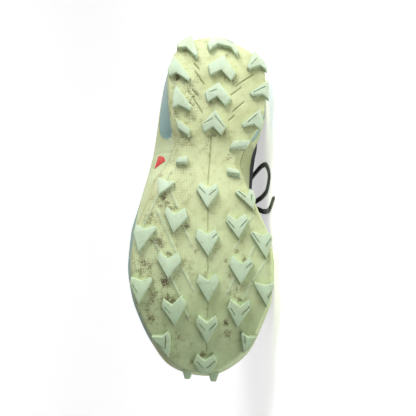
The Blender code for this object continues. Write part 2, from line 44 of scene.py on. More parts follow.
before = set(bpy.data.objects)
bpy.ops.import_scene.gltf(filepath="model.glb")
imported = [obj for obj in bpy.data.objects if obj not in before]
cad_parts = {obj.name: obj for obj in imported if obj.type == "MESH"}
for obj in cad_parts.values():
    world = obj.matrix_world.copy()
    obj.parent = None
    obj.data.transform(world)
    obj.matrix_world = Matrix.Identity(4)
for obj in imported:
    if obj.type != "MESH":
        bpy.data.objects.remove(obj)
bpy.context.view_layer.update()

MM = 0.001
BODY = "root"

# How the shoe lies on its medial side
LIE_TURN = Euler([math.radians(angle) for angle in (102.5, -3.4, 180.0)])
LIE_AT = Vector((150.0, -56.6, 50.3)) * MM
SHOE = Matrix.Translation(LIE_AT) @ LIE_TURN.to_matrix().to_4x4() @ Matrix.Scale(MM, 4)

# Camera: it looks up at the tread from below, a little from the toe and the medial side
VIEW_TARGET = Vector((157.0, 0.0, 8.0))
VIEW_DISTANCE = 690.0
VIEW_FROM_TOE = 10.0
VIEW_FROM_MEDIAL = 4.0
VIEW_ROLL = 2.5
VIEW_LENS = 70.2

# Light and floor, in metres: places and widths of the lamps, and the floor's sweep
LAMP_TARGET = Vector((0.0, -0.03, 0.06))
KEY_LAMP = ((1.1, -0.62, 0.55), 0.8)
FILL_LAMP = ((-0.35, -1.3, 0.9), 1.4)
FLOOR_HALF = 4.0
FLOOR_BACK = 1.4
FLOOR_BEND = 0.6

# Counts of the sole's grids and rings, and the widest seam that is closed
SOLE_STATIONS = 400
TREAD_ACROSS = 140
BLOCK_ACROSS = 24
MIDSOLE_RINGS = 31
SEAM = 0.02

# Sole layers
GAP = 0.3
SHEET = 2.5
EDGE_ROUND = 1.2
LIP = 6.0
LIP_DRAFT = 1.6
WEDGE_END = 0.4
WEDGE_END_GAP = 1.5
WRAP_EDGE = 0.6
WRAP_CHAMFER = 0.15
LEDGE = 0.4
PARTING_UP = 0.9

# Outlines and heights of the sole by section, on the lateral and the medial side
SOLE_COLUMNS = (
    "x", "tread_lat", "tread_med", "rim_lat", "rim_med", "foot_lat", "foot_med",
    "base_z", "rim_z", "wrap",
)
SOLE_ROWS = (
    (0, 4, 4, 3, 3, 3, 3, 15, 40, 3.5),
    (8, 27, -20, 29, -24, 23, -19, 11, 40, 3.5),
    (20, 36, -36, 40, -38, 34, -33, 7.5, 39, 3.5),
    (40, 39.5, -45, 46, -46, 39.5, -40.5, 5, 38, 3.5),
    (65, 36.5, -45.5, 49.5, -46, 42, -40.5, 5, 38, 3.5),
    (85, 32, -40.5, 51.5, -41.6, 43.5, -37.2, 6, 39, 3.5),
    (103, 25, -28, 53.5, -35.3, 45, -32, 8, 40, 4.5),
    (117, 27, -22, 56, -33.7, 46.5, -30.3, 8.5, 40, 6),
    (132, 38.5, -29, 59, -33.7, 48.5, -30.3, 7, 38.5, 7),
    (155, 49.5, -40, 63.5, -43, 53, -38.5, 5, 35, 8),
    (180, 58.5, -51.5, 68, -53.5, 58.5, -48.5, 5, 31, 8),
    (205, 62, -55, 68.5, -58, 60.5, -53, 5, 29, 8),
    (230, 60, -54, 64.5, -56.5, 57, -51.5, 7, 30, 9),
    (255, 51, -46.5, 55, -48.5, 48, -43.5, 13, 34, 10),
    (275, 39.5, -36.5, 43.5, -39, 36.5, -34, 20.5, 39, 10),
    (290, 26, -20.5, 30.5, -23, 24, -18.5, 27.5, 44, 10),
    (298, 0, 0, 0, 0, 0, 0, 31.5, 47, 10),
)

# Where the rubber's wrap is lower: its share, and the sides and sections where that begins
LOW_WRAP = 0.6
LOW_WRAP_Y = (12, 30)
LOW_WRAP_X = (128, 150)

# Where the outlines end at the heel and the toe, and the height of the wedge
RIM_ENDS = (0.0, 298.0)
TREAD_ENDS = (1.5, 294.5)
FOOT_ENDS = (5.0, 292.0)
WEDGE_COLUMNS = ("x", "top_z")
WEDGE_ROWS = (
    (0, 28), (30, 27.5), (62, 26.5), (80, 25.5), (88, 23.8), (93, 20.5), (96.5, 15.5),
    (98.5, 12.8), (115, 12),
)

# Wedge's side: its hollow, its edges and the rounding of its front end
WEDGE_HOLLOW = 0.8
WEDGE_EDGE = 0.5
WEDGE_INSET = 0.1
WEDGE_RINGS = np.linspace(0.1, 0.96, 25)
WEDGE_NOSE_X = 84.0
WEDGE_NOSE_RUN = 12.0
WEDGE_NOSE_RISE = 5.0

# Grooves of the midsole's lateral side, each from one section and share of the height to another
SIDE_SCALE = 30.0
SIDE_LINE_DEPTH = 0.6
SIDE_LINE_HALF_WIDTH = 0.9
SIDE_LINES = (
    (107, 0.05, 107, 0.95), (111, 0.70, 119, 0.62), (119, 0.62, 121, 0.5),
    (128, 0.22, 176, 0.42), (176, 0.42, 226, 0.45),
)

# Painted shade and pebbles on the medial wall of the arch, and the lateral edge of the midsole:
# sections where they begin and end, and the height of the edge
RECESS_START = (94, 100)
RECESS_END = (128, 146)
TRIM_START = (120, 190)
TRIM_END = (262, 285)
TRIM_LOW = 0.16
TRIM_RISE = 0.86
TRIM_BLUR = 0.02

# Lugs: corners of the face in plan from the point round, and its slots from end to end. Bars
# have four corners and slope down towards the toe
LUG_COLUMNS = ("corners", "slots")
LUG_ROWS = (
    (((1, 21.5), (10, 33.5), (15, 33), (14, 25.5), (23.5, 16.5), (21.5, 14.5)), ()),
    (
        (
            (17, 4), (10, 6.5), (2.5, 2.5), (4, -7.5), (9.5, -17.5),
            (18, -21), (21, -18.5), (13.5, -14), (10, -2),
        ),
        ((5.5, -9.5, 9.5, -16),),
    ),
    (((17, -35), (33, -29), (35, -31), (31, -40), (35.5, -45.5), (31.5, -47)), ((30.5, -32.5, 25, -37),)),
    (((25, 34.5), (36, 40), (42.5, 38.5), (39.5, 32.5), (46.5, 21.5), (43.5, 20)), ()),
    (((22.5, -8), (32, 5), (41, 2.5), (36, -6.5), (45, -15), (38.5, -19.5)), ()),
    (
        ((45, -48), (56, -32.5), (59, -34), (57.5, -43), (62, -48.5), (52, -49.5)),
        ((56, -35.5, 50.5, -45.5),),
    ),
    (((51, 32), (58.5, 34), (71, 34), (68.5, 29), (73, 19.5), (69.5, 18)), ()),
    (((47.5, -5), (56.5, 6.5), (65, 4), (60, -4), (68.5, -11.5), (61.5, -16)), ((56.5, 2.5, 54, -3.5),)),
    (
        ((70.5, -41.5), (84, -26.5), (87, -27.5), (84, -36.5), (88, -41.5), (81.5, -44.5)),
        ((82.5, -31.5, 75.5, -39),),
    ),
    (
        ((72.5, -3.5), (85, 8), (92, 6), (87, -1.5), (94, -8.5), (87, -12.5)),
        ((84.5, 6.5, 80, -1), (77.5, -3, 87, -11)),
    ),
    (((80.5, 31), (89, 28.5), (95, 19.5), (89.5, 17.5)), ()),
    (((99, -19.5), (105, -16.5), (103, -31.5), (98, -33.5)), ()),
    (((113.9, 26.8), (118.8, 29.3), (118.4, 19.8), (113.3, 19)), ()),
    (((121.9, -15), (126, -15.3), (127.8, -26.3), (123.9, -25.3)), ()),
    (((132.5, 42), (135.5, 43.5), (148, 42), (137, 29), (135.5, 29.5), (136, 35.5)), ()),
    (
        ((136, 7), (142.5, 10), (157.5, 0), (143.5, -8.5), (136.5, -6.5), (141.5, 1)),
        ((140, 8, 146, 2), (147, -1, 141.5, -7)),
    ),
    (
        ((142, -25), (144, -23), (158, -38.5), (144.5, -40), (140, -35), (146, -33.5)),
        ((143, -25.5, 148, -32), (145.5, -37, 151, -37)),
    ),
    (((158, 34), (163.5, 36), (180, 28), (166.5, 16.5), (158.5, 19), (164.5, 27.5)), ()),
    (
        ((162.5, -17.5), (169, -16), (183, -27), (168.5, -34.5), (162, -32), (168, -24.5)),
        ((168.5, -17.5, 174.5, -23.5), (173.5, -28.5, 167.5, -33.5)),
    ),
    (((174, 59.5), (181.5, 61.5), (197.5, 56.5), (178, 43), (175, 44), (178, 52.5)), ()),
    (
        ((176, 7), (183.5, 9), (198.5, -2), (182.5, -10.5), (175.5, -7.5), (181, -1)),
        ((183.5, -5.5, 180, -9),),
    ),
    (
        ((177, -38.5), (179, -37), (199, -50.5), (181.5, -55), (177, -52.5), (180, -47.5)),
        ((178, -38.5, 186.5, -45), (189, -50, 182.5, -54)),
    ),
    (((196.5, 38), (202.5, 40.5), (218.5, 30.5), (203.5, 20), (196, 23), (202.5, 31)), ()),
    (
        ((198, -22.5), (205.5, -20), (221, -30), (204.5, -40), (198, -37.5), (204.5, -31)),
        ((208, -34, 203.5, -38.5),),
    ),
    (
        ((219, 61.5), (225, 62), (240.5, 54.5), (221, 43.5), (218.5, 45), (221.5, 53)),
        ((225, 60, 231.5, 55.5),),
    ),
    (((214, 4.5), (221, 6.5), (236.5, -3.5), (220.5, -12), (213.5, -9), (219.5, -3)), ()),
    (
        ((219, -42), (221, -41.5), (239, -52.5), (220.5, -58), (219, -57), (221.5, -50.5)),
        ((231.5, -53, 226.5, -56),),
    ),
    (
        ((236, 33.5), (242.5, 35), (257, 24), (240.5, 14.5), (233.5, 19), (241, 26.5)),
        ((242.5, 32.5, 247, 28),),
    ),
    (
        ((234.5, -22.5), (241.5, -20), (256.5, -28.5), (240.5, -39.5), (234, -37), (240, -30.5)),
        ((241, -22.5, 246.5, -26.5), (246, -32, 239, -38.5)),
    ),
    (
        ((249, 4), (255.5, 6), (270.5, -3.5), (254.5, -12.5), (248, -10), (254, -3.5)),
        ((255, 3, 260, -2), (260, -5, 253.5, -11)),
    ),
    (
        ((267, 43), (269.5, 41.5), (284, 29), (267.5, 27), (263, 29.5), (267, 34)),
        ((271, 40, 276.5, 33), (266, 31, 277, 31.5)),
    ),
    (
        ((261, -32.5), (264, -32), (278.5, -34.5), (264.5, -45.5), (263.5, -44.5), (264.5, -37.5)),
        ((263, -35, 269.5, -35.5), (274, -37.5, 266.5, -44.5)),
    ),
    (
        ((281, 4.5), (287, 7.5), (296, 2), (295.5, -6), (286, -12.5), (280, -9.5), (285.5, -2)),
        ((286, 4.5, 291, -0.5), (291, -3.5, 285, -10.5)),
    ),
)
LUG_HEIGHT = 5.0
LUG_ROOT = 1.5
LUG_DRAFT = 0.92
BAR_SLOPE = 2.4
EDGE_OVERHANG = 3.0
EDGE_CUTS = 4
SLOT_WIDTH = 0.8
SLOT_DEPTH = 1.6
SLOT_CLEAR = 2.0
SLOPE_REACH = 3.0
LUG_SOIL = 0.6
LUG_SOIL_FADE = 1.3

# Nubs on the front of the toe
NUB_SIDES = (13.4, -9.0)
NUB_WIDTH = 9.5
NUB_DEPTH = 7.0
NUB_TIP = 4.5
NUB_LENGTH = 8.0
NUB_RISE = 2.0
NUB_FALL = 0.26
NUB_X = 296.5
NUB_Z = 36.5
NUB_EDGE = 0.8
NUB_START_X = 293.5

# Thin lines of the tread, each from one point to another
RIDGES = (
    (143.8, 32.3, 159.0, 25.2), (160.4, 43.4, 195.6, 25.1), (186.7, 44.5, 194.4, 40.3),
    (173.7, 20.1, 189.1, 12.4), (163.1, -38.2, 172.8, -31.7), (184.2, -27.8, 191.3, -23.8),
    (189.0, -40.8, 196.9, -37.1), (209.7, 19.2, 227.3, 9.3), (218.6, 28.2, 231.0, 21.2),
    (243.8, 16.1, 252.0, 12.0), (200.3, -50.5, 217.8, -40.0), (216.6, -24.7, 228.7, -19.2),
    (220.4, -37.9, 233.9, -32.0), (116.0, 27.0, 128.2, 34.5), (128.2, 34.5, 175.7, 54.3),
)
RIDGE_HALF_WIDTH = 1.1
SIPES = (
    (29.3, 17.4, 34.6, 13.1), (36.5, 16.4, 48.5, 8.0), (53.4, 17.9, 59.1, 12.6),
    (59.8, 17.6, 74.0, 8.6), (39.0, -33.9, 49.7, -19.3), (50.7, -24.3, 57.3, -16.2),
    (64.0, -26.9, 72.2, -17.9), (76.2, -19.1, 80.2, -14.9),
)
CENTRE_LINE = (
    (94.3, 0.0, 136.8, 0.9), (152.9, 0.2, 177.5, -0.9), (198.0, -1.2, 213.5, -2.6),
    (235.5, -2.9, 248.5, -3.1), (270.5, -2.4, 277.0, -2.5),
)
SIPE_DEPTH = 1.1
SIPE_HALF_WIDTH = 0.75
CENTRE_DEPTH = 0.6
GRIP_SLANT = 0.05
GRIP_START = (3.0, 9.0)

# Soil on the tread: place, radius and amount
SOIL_COLUMNS = ("x", "y", "radius", "amount")
SOIL_ROWS = (
    (56.5, 18.5, 4, 0.9), (67.5, 19.5, 4, 0.6), (80.5, 19, 5, 0.4), (95.5, 20.5, 5, 0.4),
    (21, -11, 5, 0.5), (12, 6, 3, 0.4), (42.5, 30, 6, 0.6), (38.5, -8.5, 5, 0.6), (45, -18, 4, 0.5),
    (63, -1, 4, 0.8), (69.5, 5.5, 3, 0.4), (58.5, -40, 5, 0.5), (76, 31.5, 5, 0.5), (90, -13.5, 5, 0.5),
    (92.5, -2.5, 5, 0.5), (103, 4, 5, 0.6), (111.5, -17, 2.2, 0.9), (110, 1, 2, 0.7),
    (129.5, 49, 7, 0.3), (152, 38.5, 7, 0.6), (156, 59.5, 3, 0.4), (159, 28.5, 3.5, 0.8),
    (153, -6.5, 2.6, 0.7), (171.5, 51.5, 4, 0.4), (164.5, 44, 6, 0.4), (188, 42, 6, 0.8),
    (197.5, 32, 3, 1.2), (176, 22.5, 5, 0.4), (174, 16.5, 2, 0.6), (206.5, 55.5, 7, 0.6),
    (212.5, 50, 5, 0.6), (220.5, 36, 5, 0.6), (222.5, 33.5, 2.4, 0.9), (209.5, 16.5, 6, 0.5),
    (193.5, 9.5, 4, 0.4), (214.5, 0, 3, 1.3), (194, -6, 3, 0.5), (193.5, -25.5, 2.2, 1.1),
    (200, -32, 3.2, 1), (201.5, -17.5, 2.4, 0.8), (212.5, -19.5, 3, 0.6), (225.5, -26, 4, 0.7),
    (183, -3.5, 3, 0.4), (112, -16.5, 2.4, 0.6), (232, 40, 5, 0.8), (221.5, 33.5, 3, 0.7),
    (236, 28, 3.2, 1.9), (251.5, 43.5, 4, 0.8), (242, 41.5, 6, 0.5), (262, 28, 2, 0.7),
    (266, 35, 2, 0.9), (249, 12, 2, 0.8), (269, 17, 1.6, 1.1), (267, 21, 5, 0.3), (271, 12.5, 4, 0.4),
    (253, -19, 2.2, 2.2), (262, -20, 5, 0.7), (234.5, -29.5, 3, 1.2), (227, -25, 5, 0.5),
    (280, 0.5, 3, 1.4), (280, -6.5, 2, 0.8), (286.5, 10, 2.6, 0.6), (242, -3, 2, 0.5),
    (249.5, -3.5, 3, 0.5), (265, -33, 3, 0.4),
)

# Short steps, along and up a wall, that its slopes are read over
SIDE_STEP = 0.01
RISE_STEP = 0.05

# Plain inset in the lateral side of the arch: corners along and up the wall
INSET_X = 115.5
INSET_UP = 0.37
INSET_CORNERS = ((-6.0, 6.5), (-7.0, -0.5), (-1.5, -7.0), (8.0, 6.5))
INSET_DEPTH = 3.0
INSET_SHRINK = 0.93
INSET_CORNER = 2.2
INSET_BRIM = 0.7
INSET_PROUD = 0.2

# Upper: ribs from the sole up to the top edge, its eyelets and its creases
WALL = 2.2
UPPER_STATIONS = 180
UPPER_STEPS = 48
UPPER_COLUMNS = (
    "x", "top_x", "top_y", "top_z", "rise", "flare", "reach_x", "reach_y", "drop",
)
UPPER_ROWS = (
    (0, 8, 0, 103, 26, 5, 3, 0, 26),
    (6, 11, 15, 102, 26, 4, 2, 2, 26),
    (20, 23, 28, 97, 25, 3, 0, 3, 25),
    (48, 50, 35, 88, 22, 3, 0, 3, 22),
    (85, 80, 36.5, 87, 20, 3, 2, 4, 20),
    (125, 108, 31, 99, 22, 6, 6, 8, 22),
    (152, 120, 24.5, 111, 22, 5, 8, 15, 16),
    (186, 145, 21, 99, 22, 3, 10, 20, 9),
    (218, 169, 17.5, 88, 22, 3, 14, 22, 6),
    (255, 187, 14, 80, 21, 3, 26, 22, 5),
    (283, 196, 8.5, 76.5, 21, 3, 42, 14, 5),
    (298, 199, 0, 75.5, 21, 3, 58, 0, 5),
)
EYELET_RIBS = (158, 173, 188, 204, 221, 243)
EYELET_UP = 0.9
EYELET_DIAMETER = 4.0
CREASE_COLUMNS = ("x", "up", "to_x", "to_up", "half_width")
CREASES = (
    (214, 0.95, 226, 0.30, 5.0), (232, 0.90, 240, 0.36, 4.5), (200, 0.80, 208, 0.34, 4.0),
    (120, 0.60, 132, 0.28, 5.0),
)
RIB_LENGTH = 60
RIB_STEP = 2

# Bands over the upper: slants, and sections and shares of the ribs between which they rise or fall
CAP_SLANT = 34
CAP_X = (246, 249)
CAP_UP = (0.58, 0.62)
RAND_UP = (0.11, 0.13)
COUNTER_SLANT = 46
COUNTER_X = (83, 86)
COUNTER_UP = (0.63, 0.66)
STAY_UP = (0.775, 0.8)
STAY_START = (146, 149)
STAY_END = (267, 270)

# Collar's padding, and rows of stitches: from one rib to another, and share of the ribs
COLLAR_X = (92, 118)
COLLAR_ROLL = 1.4
COLLAR_ROLL_UP = (0.9, 0.1)
COLLAR_PAD_UP = (0.86, 0.17)
STAY_STITCHES = (150, 266, 0.815)
COLLAR_STITCHES = (2, 112, 0.79)
STITCH_PITCH = 3.0
STITCH_SIZE = (0.78, 0.8, 0.55)
STITCH_LIFT = 0.15

# Tongue: crown, half width, drop at the sides and thickness from the vamp up to its top
TONGUE_COLUMNS = ("x", "z", "half_width", "drop", "thickness")
TONGUE_ROWS = (
    (208, 68.2, 15, 7, 3), (197, 73.7, 21, 11, 3.5), (187, 78.4, 24, 13, 4.5),
    (169, 88, 26, 13, 5), (145, 100.5, 28, 14, 5.5), (121, 112.5, 25, 13, 6),
    (107, 120.5, 23.5, 12, 6), (97, 127, 23, 11, 5),
)
TONGUE_POWER = 2.5
TONGUE_STEPS = 72
TONGUE_SIDES = 64
TONGUE_LENGTH = 130
TONGUE_EDGE = 3.0
CHANNEL_PITCH = 14
CHANNEL_HALF_WIDTH = 2.2
CHANNEL_DEPTH = 0.7

# Insole, and the dip that the heel has worn in it
INSOLE_ACROSS = 40
INSOLE_THICKNESS = 4.0
INSOLE_CHAMFER = 0.35
DIP_AT = (45.0, -1.0)
DIP_RADII = (28.0, 20.0)
DIP_DEPTH = 0.8

# Lacing over the throat, and the knot on top of the tongue
LACE_LIFT = 2.3
LACE_CROWN = 4.5
LACE_OVERLAP = 0.7
LACE_EDGE_UP = 0.98
LACE_TURN = 0.15
TAIL_CROWN = 1.5
TAIL_WIDTH = 4.0
THROAT_UP = Vector((0.41, 0.0, 0.91)).normalized()
KNOT_AT = Vector((120.9, 0.0, 117.5))
KNOT_SIZE = (12.0, 12.0, 8.0)
KNOT_REACH = 0.35
BIGHT_STEPS = 32
BIGHT_SIZE = (0.62, 0.5, 0.25)
BIGHT_WIDTH = 4.6
WRAP_WIDTH = 5.0

# Lace at an eyelet: how far out and inward its points lie, and its width there
EYELET_PATH = ((-3.0, 0.0, 3.0), (0.6, -0.2, 3.2), (LACE_LIFT, 1.6, 4.0))

# Free runs of the lace over the floor, in millimetres of the scene, and their tips
CORD_STEP = 2.5
CORD_LIE = 1.6
CORD_RISEN = 3.5
CORD_BLEND = 1.5
CRIMP = 0.45
CRIMP_RUN = 8.0
AGLET_SIDES = 16
AGLET_RADIUS = 1.45
AGLET_BRIM = 0.18
AGLET_TAPER = 0.35
AGLET_PAST = 1.5
CORD_ROUTES = {
    "lace_loop_1": (
        (30.1, 58.9, 26.3), (31.5, 59.9, 21.9), (33, 60, 15), (34.5, 57, 7), (36, 50, 2.6),
        (37, 42, 1.6), (38, 28, 1.6), (39, 8, 1.6), (39, -12, 1.6), (36, -28, 1.6), (25, -38, 1.6),
        (14, -29, 1.6), (11, -12, 1.6), (11, 8, 1.6), (12, 28, 1.6), (13.5, 42, 1.6), (15, 50, 2.6),
        (17, 57, 7), (19, 59.5, 15), (21.6, 57.8, 22.5), (24.4, 56.3, 27.2),
    ),
    "lace_end_1": (
        (24.2, 59.8, 29), (21.1, 62.7, 26.9), (17.5, 65.5, 21.5), (14.5, 66, 14), (12, 62, 7),
        (10, 54, 2.7), (8.5, 44, 1.7), (6, 26, 1.6), (1, 5, 1.6), (-4, -16, 1.6), (-5, -36, 1.6),
        (2, -52, 1.6),
    ),
    "lace_loop_2": (
        (29.7, 62.6, 34.8), (30.1, 67.1, 36.2), (27, 72.5, 36), (19, 77, 33), (8, 79.5, 26),
        (-4, 80.5, 17), (-16, 79, 8), (-28, 75, 3), (-41, 68, 1.6), (-49, 56, 1.6), (-43, 44, 1.6),
        (-30, 41, 1.6), (-19, 48, 1.6), (-11, 57, 2.8), (-3, 64, 10), (5, 67, 21), (13, 66.5, 31),
        (20.6, 63.1, 36.8), (24, 60.1, 35.7),
    ),
    "lace_end_2": (
        (31.7, 62.1, 30.3), (33.5, 66.2, 28.9), (38, 71, 25), (45, 75.5, 17), (53, 77.5, 9),
        (62, 77.5, 3.5), (72, 75, 1.7), (84, 71, 1.6), (97, 68, 1.6), (110, 69, 1.6),
    ),
}


def table(columns, rows):
    """Return the columns of a table by name."""
    return dict(zip(columns, np.array(rows, dtype=float).T))


SOLE = table(SOLE_COLUMNS, SOLE_ROWS)
WEDGE = table(WEDGE_COLUMNS, WEDGE_ROWS)
UPPER = table(UPPER_COLUMNS, UPPER_ROWS)
TONGUE = table(TONGUE_COLUMNS, TONGUE_ROWS)


def hermite(at, knots, values, slopes):
    """Read a cubic curve through points with given slopes."""
    cell = np.clip(np.searchsorted(knots, at, side="right") - 1, 0, len(knots) - 2)
    span = knots[cell + 1] - knots[cell]
    u = (at - knots[cell]) / span
    return (
        (2 * u**3 - 3 * u**2 + 1) * values[cell]
        + (u**3 - 2 * u**2 + u) * span * slopes[cell]
        + (3 * u**2 - 2 * u**3) * values[cell + 1]
        + (u**3 - u**2) * span * slopes[cell + 1]
    )


def smooth(at, knots, values):
    """Read a curve through a table's points that stays flat where they are level."""
    rates = np.diff(values) / np.diff(knots)
    before, after = rates[:-1], rates[1:]
    rising = before * after > 0
    inner = np.where(rising, 2 * before * after / np.where(rising, before + after, 1.0), 0.0)
    return hermite(at, knots, values, np.concatenate((rates[:1], inner, rates[-1:])))


def distance_to(x, y, line):
    """Return how far points lie from a straight line's stretch."""
    x0, y0, x1, y1 = line
    span = np.array((x1 - x0, y1 - y0))
    share = np.clip(((x - x0) * span[0] + (y - y0) * span[1]) / span.dot(span), 0, 1)
    return np.hypot(x - x0 - span[0] * share, y - y0 - span[1] * share)


def crest(distance, half_width):
    """Return a smooth hump across a line."""
    return np.clip(1 - (distance / half_width) ** 2, 0, 1) ** 1.5


def rise_between(value, low, high):
    """Return a smooth rise from 0 to 1 between two values."""
    share = np.clip((value - low) / (high - low), 0, 1)
    return share * share * (3 - 2 * share)


def fall_between(value, low, high):
    """Return a smooth fall from 1 to 0 between two values."""
    return rise_between(-value, -high, -low)


def runs_of(points):
    """Return how far along a line each of its points lies."""
    return np.concatenate(((0.0,), np.cumsum(np.linalg.norm(np.diff(points, axis=0), axis=1))))


def unit(rows):
    """Return vectors scaled to a length of one."""
    return rows / np.linalg.norm(rows, axis=-1, keepdims=True)


def turns(count):
    """Return even angles round a ring."""
    return np.arange(count) * math.tau / count


def plump(angles, power):
    """Return heights round a ring that is flattened towards a slab."""
    return np.sign(np.sin(angles)) * np.abs(np.sin(angles)) ** power


def station_of(x, ends=RIM_ENDS):
    """Return the share of the way round from heel to toe at a section of an outline."""
    share = (np.asarray(x, dtype=float) - ends[0]) / (ends[1] - ends[0])
    return np.arccos(1 - 2 * np.clip(share, 0, 1)) / math.pi


def along(ends, s):
    """Return x at a station for an outline with these ends."""
    return ends[0] + (ends[1] - ends[0]) * (1 - np.cos(math.pi * s)) / 2


def read(columns, name, s):
    """Read one column of a table at stations round the shoe."""
    return smooth(s, station_of(columns["x"]), columns[name])


def base_height(x):
    """Return the height of the tread's base at sections."""
    return read(SOLE, "base_z", station_of(x, TREAD_ENDS))


def outward(loop):
    """Return unit normals in plan that point away from the middle of an outline."""
    step = np.roll(loop[:, :2], -1, axis=0) - np.roll(loop[:, :2], 1, axis=0)
    return unit(np.column_stack((-step[:, 1], step[:, 0])))


class Loops:
    """Outlines of the shoe at even stations: heel, lateral side, toe, medial side."""

    def __init__(self, stations):
        steps = np.arange(2 * stations)
        self.stations = stations
        self.lateral = steps <= stations
        self.sign = np.where(self.lateral, 1.0, -1.0)
        self.s = np.where(self.lateral, steps, 2 * stations - steps) / stations
        self.tread = self.outline("tread", TREAD_ENDS)
        self.rim = self.outline("rim", RIM_ENDS)
        self.foot_line = self.outline("foot", FOOT_ENDS)
        self.base_z = read(SOLE, "base_z", self.s)
        self.rim_z = read(SOLE, "rim_z", self.s)
        low = rise_between(self.tread[:, 1], *LOW_WRAP_Y) * rise_between(self.rim[:, 0], *LOW_WRAP_X)
        self.wrap_z = self.base_z + read(SOLE, "wrap", self.s) * (1 - LOW_WRAP * low)
        self.wedge_z = read(WEDGE, "top_z", self.s)

    def outline(self, name, ends):
        """Return one of the sole's outlines in plan."""
        lateral = read(SOLE, name + "_lat", self.s)
        medial = read(SOLE, name + "_med", self.s)
        return np.column_stack((along(ends, self.s), np.where(self.lateral, lateral, medial)))

    def raised(self, plan, z):
        """Return an outline in plan at heights."""
        return np.column_stack((plan[:, 0], plan[:, 1], z * np.ones(len(plan))))

    def wall(self, z, inset=0.0, lift=0.0):
        """Return the loop of the sole's side wall at heights, moved in and then lifted."""
        share = np.clip((z - self.base_z) / (self.rim_z - self.base_z), 0, 1)
        share = (1 - (1 - share) ** 2)[:, None]
        loop = self.tread + (self.rim - self.tread) * share
        return self.raised(loop - outward(loop) * np.reshape(inset, (-1, 1)), z + lift)

    def foot(self, z, inset=0.0):
        """Return the loop of the foot's outline at heights, moved in by an inset."""
        return self.raised(self.foot_line - outward(self.foot_line) * inset, z)


def link(name, data):
    """Add an object to the scene."""
    made = bpy.data.objects.new(name, data)
    bpy.context.scene.collection.objects.link(made)
    return made


def mesh_of(bm, name):
    """Turn a bmesh into a mesh."""
    mesh = bpy.data.meshes.new(name)
    bm.to_mesh(mesh)
    bm.free()
    return mesh


def place_all(bm, places):
    """Move the vertices of a bmesh to their places."""
    for vert, place in zip(bm.verts, places):
        vert.co = place


def press(bm):
    """Press flat what would pass the ground."""
    for vert in bm.verts:
        vert.co.z = max(vert.co.z, 0.0)


def verts_in(geometry):
    """Return the vertices among the results of an operation."""
    return [item for item in geometry if isinstance(item, bmesh.types.BMVert)]


def rims(bm):
    """Return the open edges of a bmesh."""
    return [item for item in bm.edges if item.is_boundary]


def close(bm):
    """Fill the open ends of a bmesh and turn its faces outward."""
    bmesh.ops.holes_fill(bm, edges=rims(bm))
    bmesh.ops.recalc_face_normals(bm, faces=bm.faces)


def soften(bm, edges, offset, segments):
    """Round edges of a bmesh."""
    bmesh.ops.bevel(
        bm, geom=edges, offset=offset, offset_type="OFFSET", segments=segments, profile=0.5,
        affect="EDGES", clamp_overlap=True, material=-1,
    )


def grow(bm, edges, count):
    """Extrude open edges ring by ring, and return each vertex's place and ring."""
    for height in range(1, count):
        grown = bmesh.ops.extrude_edge_only(bm, edges=edges)["geom"]
        for vert in verts_in(grown):
            vert.co.z = height
        edges = [item for item in grown if isinstance(item, bmesh.types.BMEdge) and item.is_boundary]
    grid = np.array([vert.co for vert in bm.verts])
    return grid, np.rint(grid[:, 2]).astype(int)


def layer(loops, across, rings, last=None):
    """Model a closed layer of the sole: a grid for its bottom, then its side, ring by ring.

    Returns the bmesh, and each vertex's place, station and ring.
    """
    last = last or loops.stations
    rings = np.array(list(rings))
    middle = (rings[-1] + np.roll(rings[-1][::-1], 1, axis=0)) / 2
    rings = np.concatenate((rings, middle[None]))
    bm = bmesh.new()
    start = Matrix.Translation((0.5, 0.5, 0.0))
    bmesh.ops.create_grid(bm, x_segments=last, y_segments=across, size=0.5, matrix=start)
    grid, ring = grow(bm, rims(bm), len(rings))
    station = np.rint(grid[:, 0] * last).astype(int)
    share = grid[:, 1:2]
    places = rings[ring, -station] * (1 - share) + rings[ring, station] * share
    return bm, places, station, ring


def settle(bm, places):
    """Move the vertices of a layer to their places and close its seams."""
    place_all(bm, places)
    bmesh.ops.remove_doubles(bm, verts=bm.verts, dist=SEAM)
    bmesh.ops.recalc_face_normals(bm, faces=bm.faces)


def mark(bm, name, amounts):
    """Keep an amount at each vertex for the finish to read."""
    layer_of = bm.verts.layers.float.new(name)
    for vert, amount in zip(bm.verts, amounts):
        vert[layer_of] = amount


def add_piece(name, bm, finish, slot, *nodes, lay=SHOE, sharp=40.0):
    """Turn a bmesh into a finished piece that stands for nodes of the frame."""
    bm.transform(lay)
    press(bm)
    mesh = mesh_of(bm, name)
    mesh.materials.append(finish)
    mesh.shade_smooth()
    mesh.set_sharp_from_angle(angle=math.radians(sharp))
    piece = link(name, mesh)
    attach(piece, BODY)
    if nodes:
        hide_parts(*nodes)
    return piece


def cut(bm, tool, operation="DIFFERENCE"):
    """Cut one bmesh with another and return the result."""
    objects = [link("cut", mesh_of(part, "cut")) for part in (bm, tool)]
    modifier = objects[0].modifiers.new("cut", "BOOLEAN")
    modifier.operation = operation
    modifier.solver = "EXACT"
    modifier.object = objects[1]
    graph = bpy.context.evaluated_depsgraph_get()
    result = bmesh.new()
    result.from_object(objects[0], graph)
    for used in objects:
        mesh = used.data
        bpy.data.objects.remove(used)
        bpy.data.meshes.remove(mesh)
    return result


def gather(parts):
    """Join several bmeshes into one."""
    joined = bmesh.new()
    for part in parts:
        mesh = mesh_of(part, "part")
        joined.from_mesh(mesh)
        bpy.data.meshes.remove(mesh)
    return joined


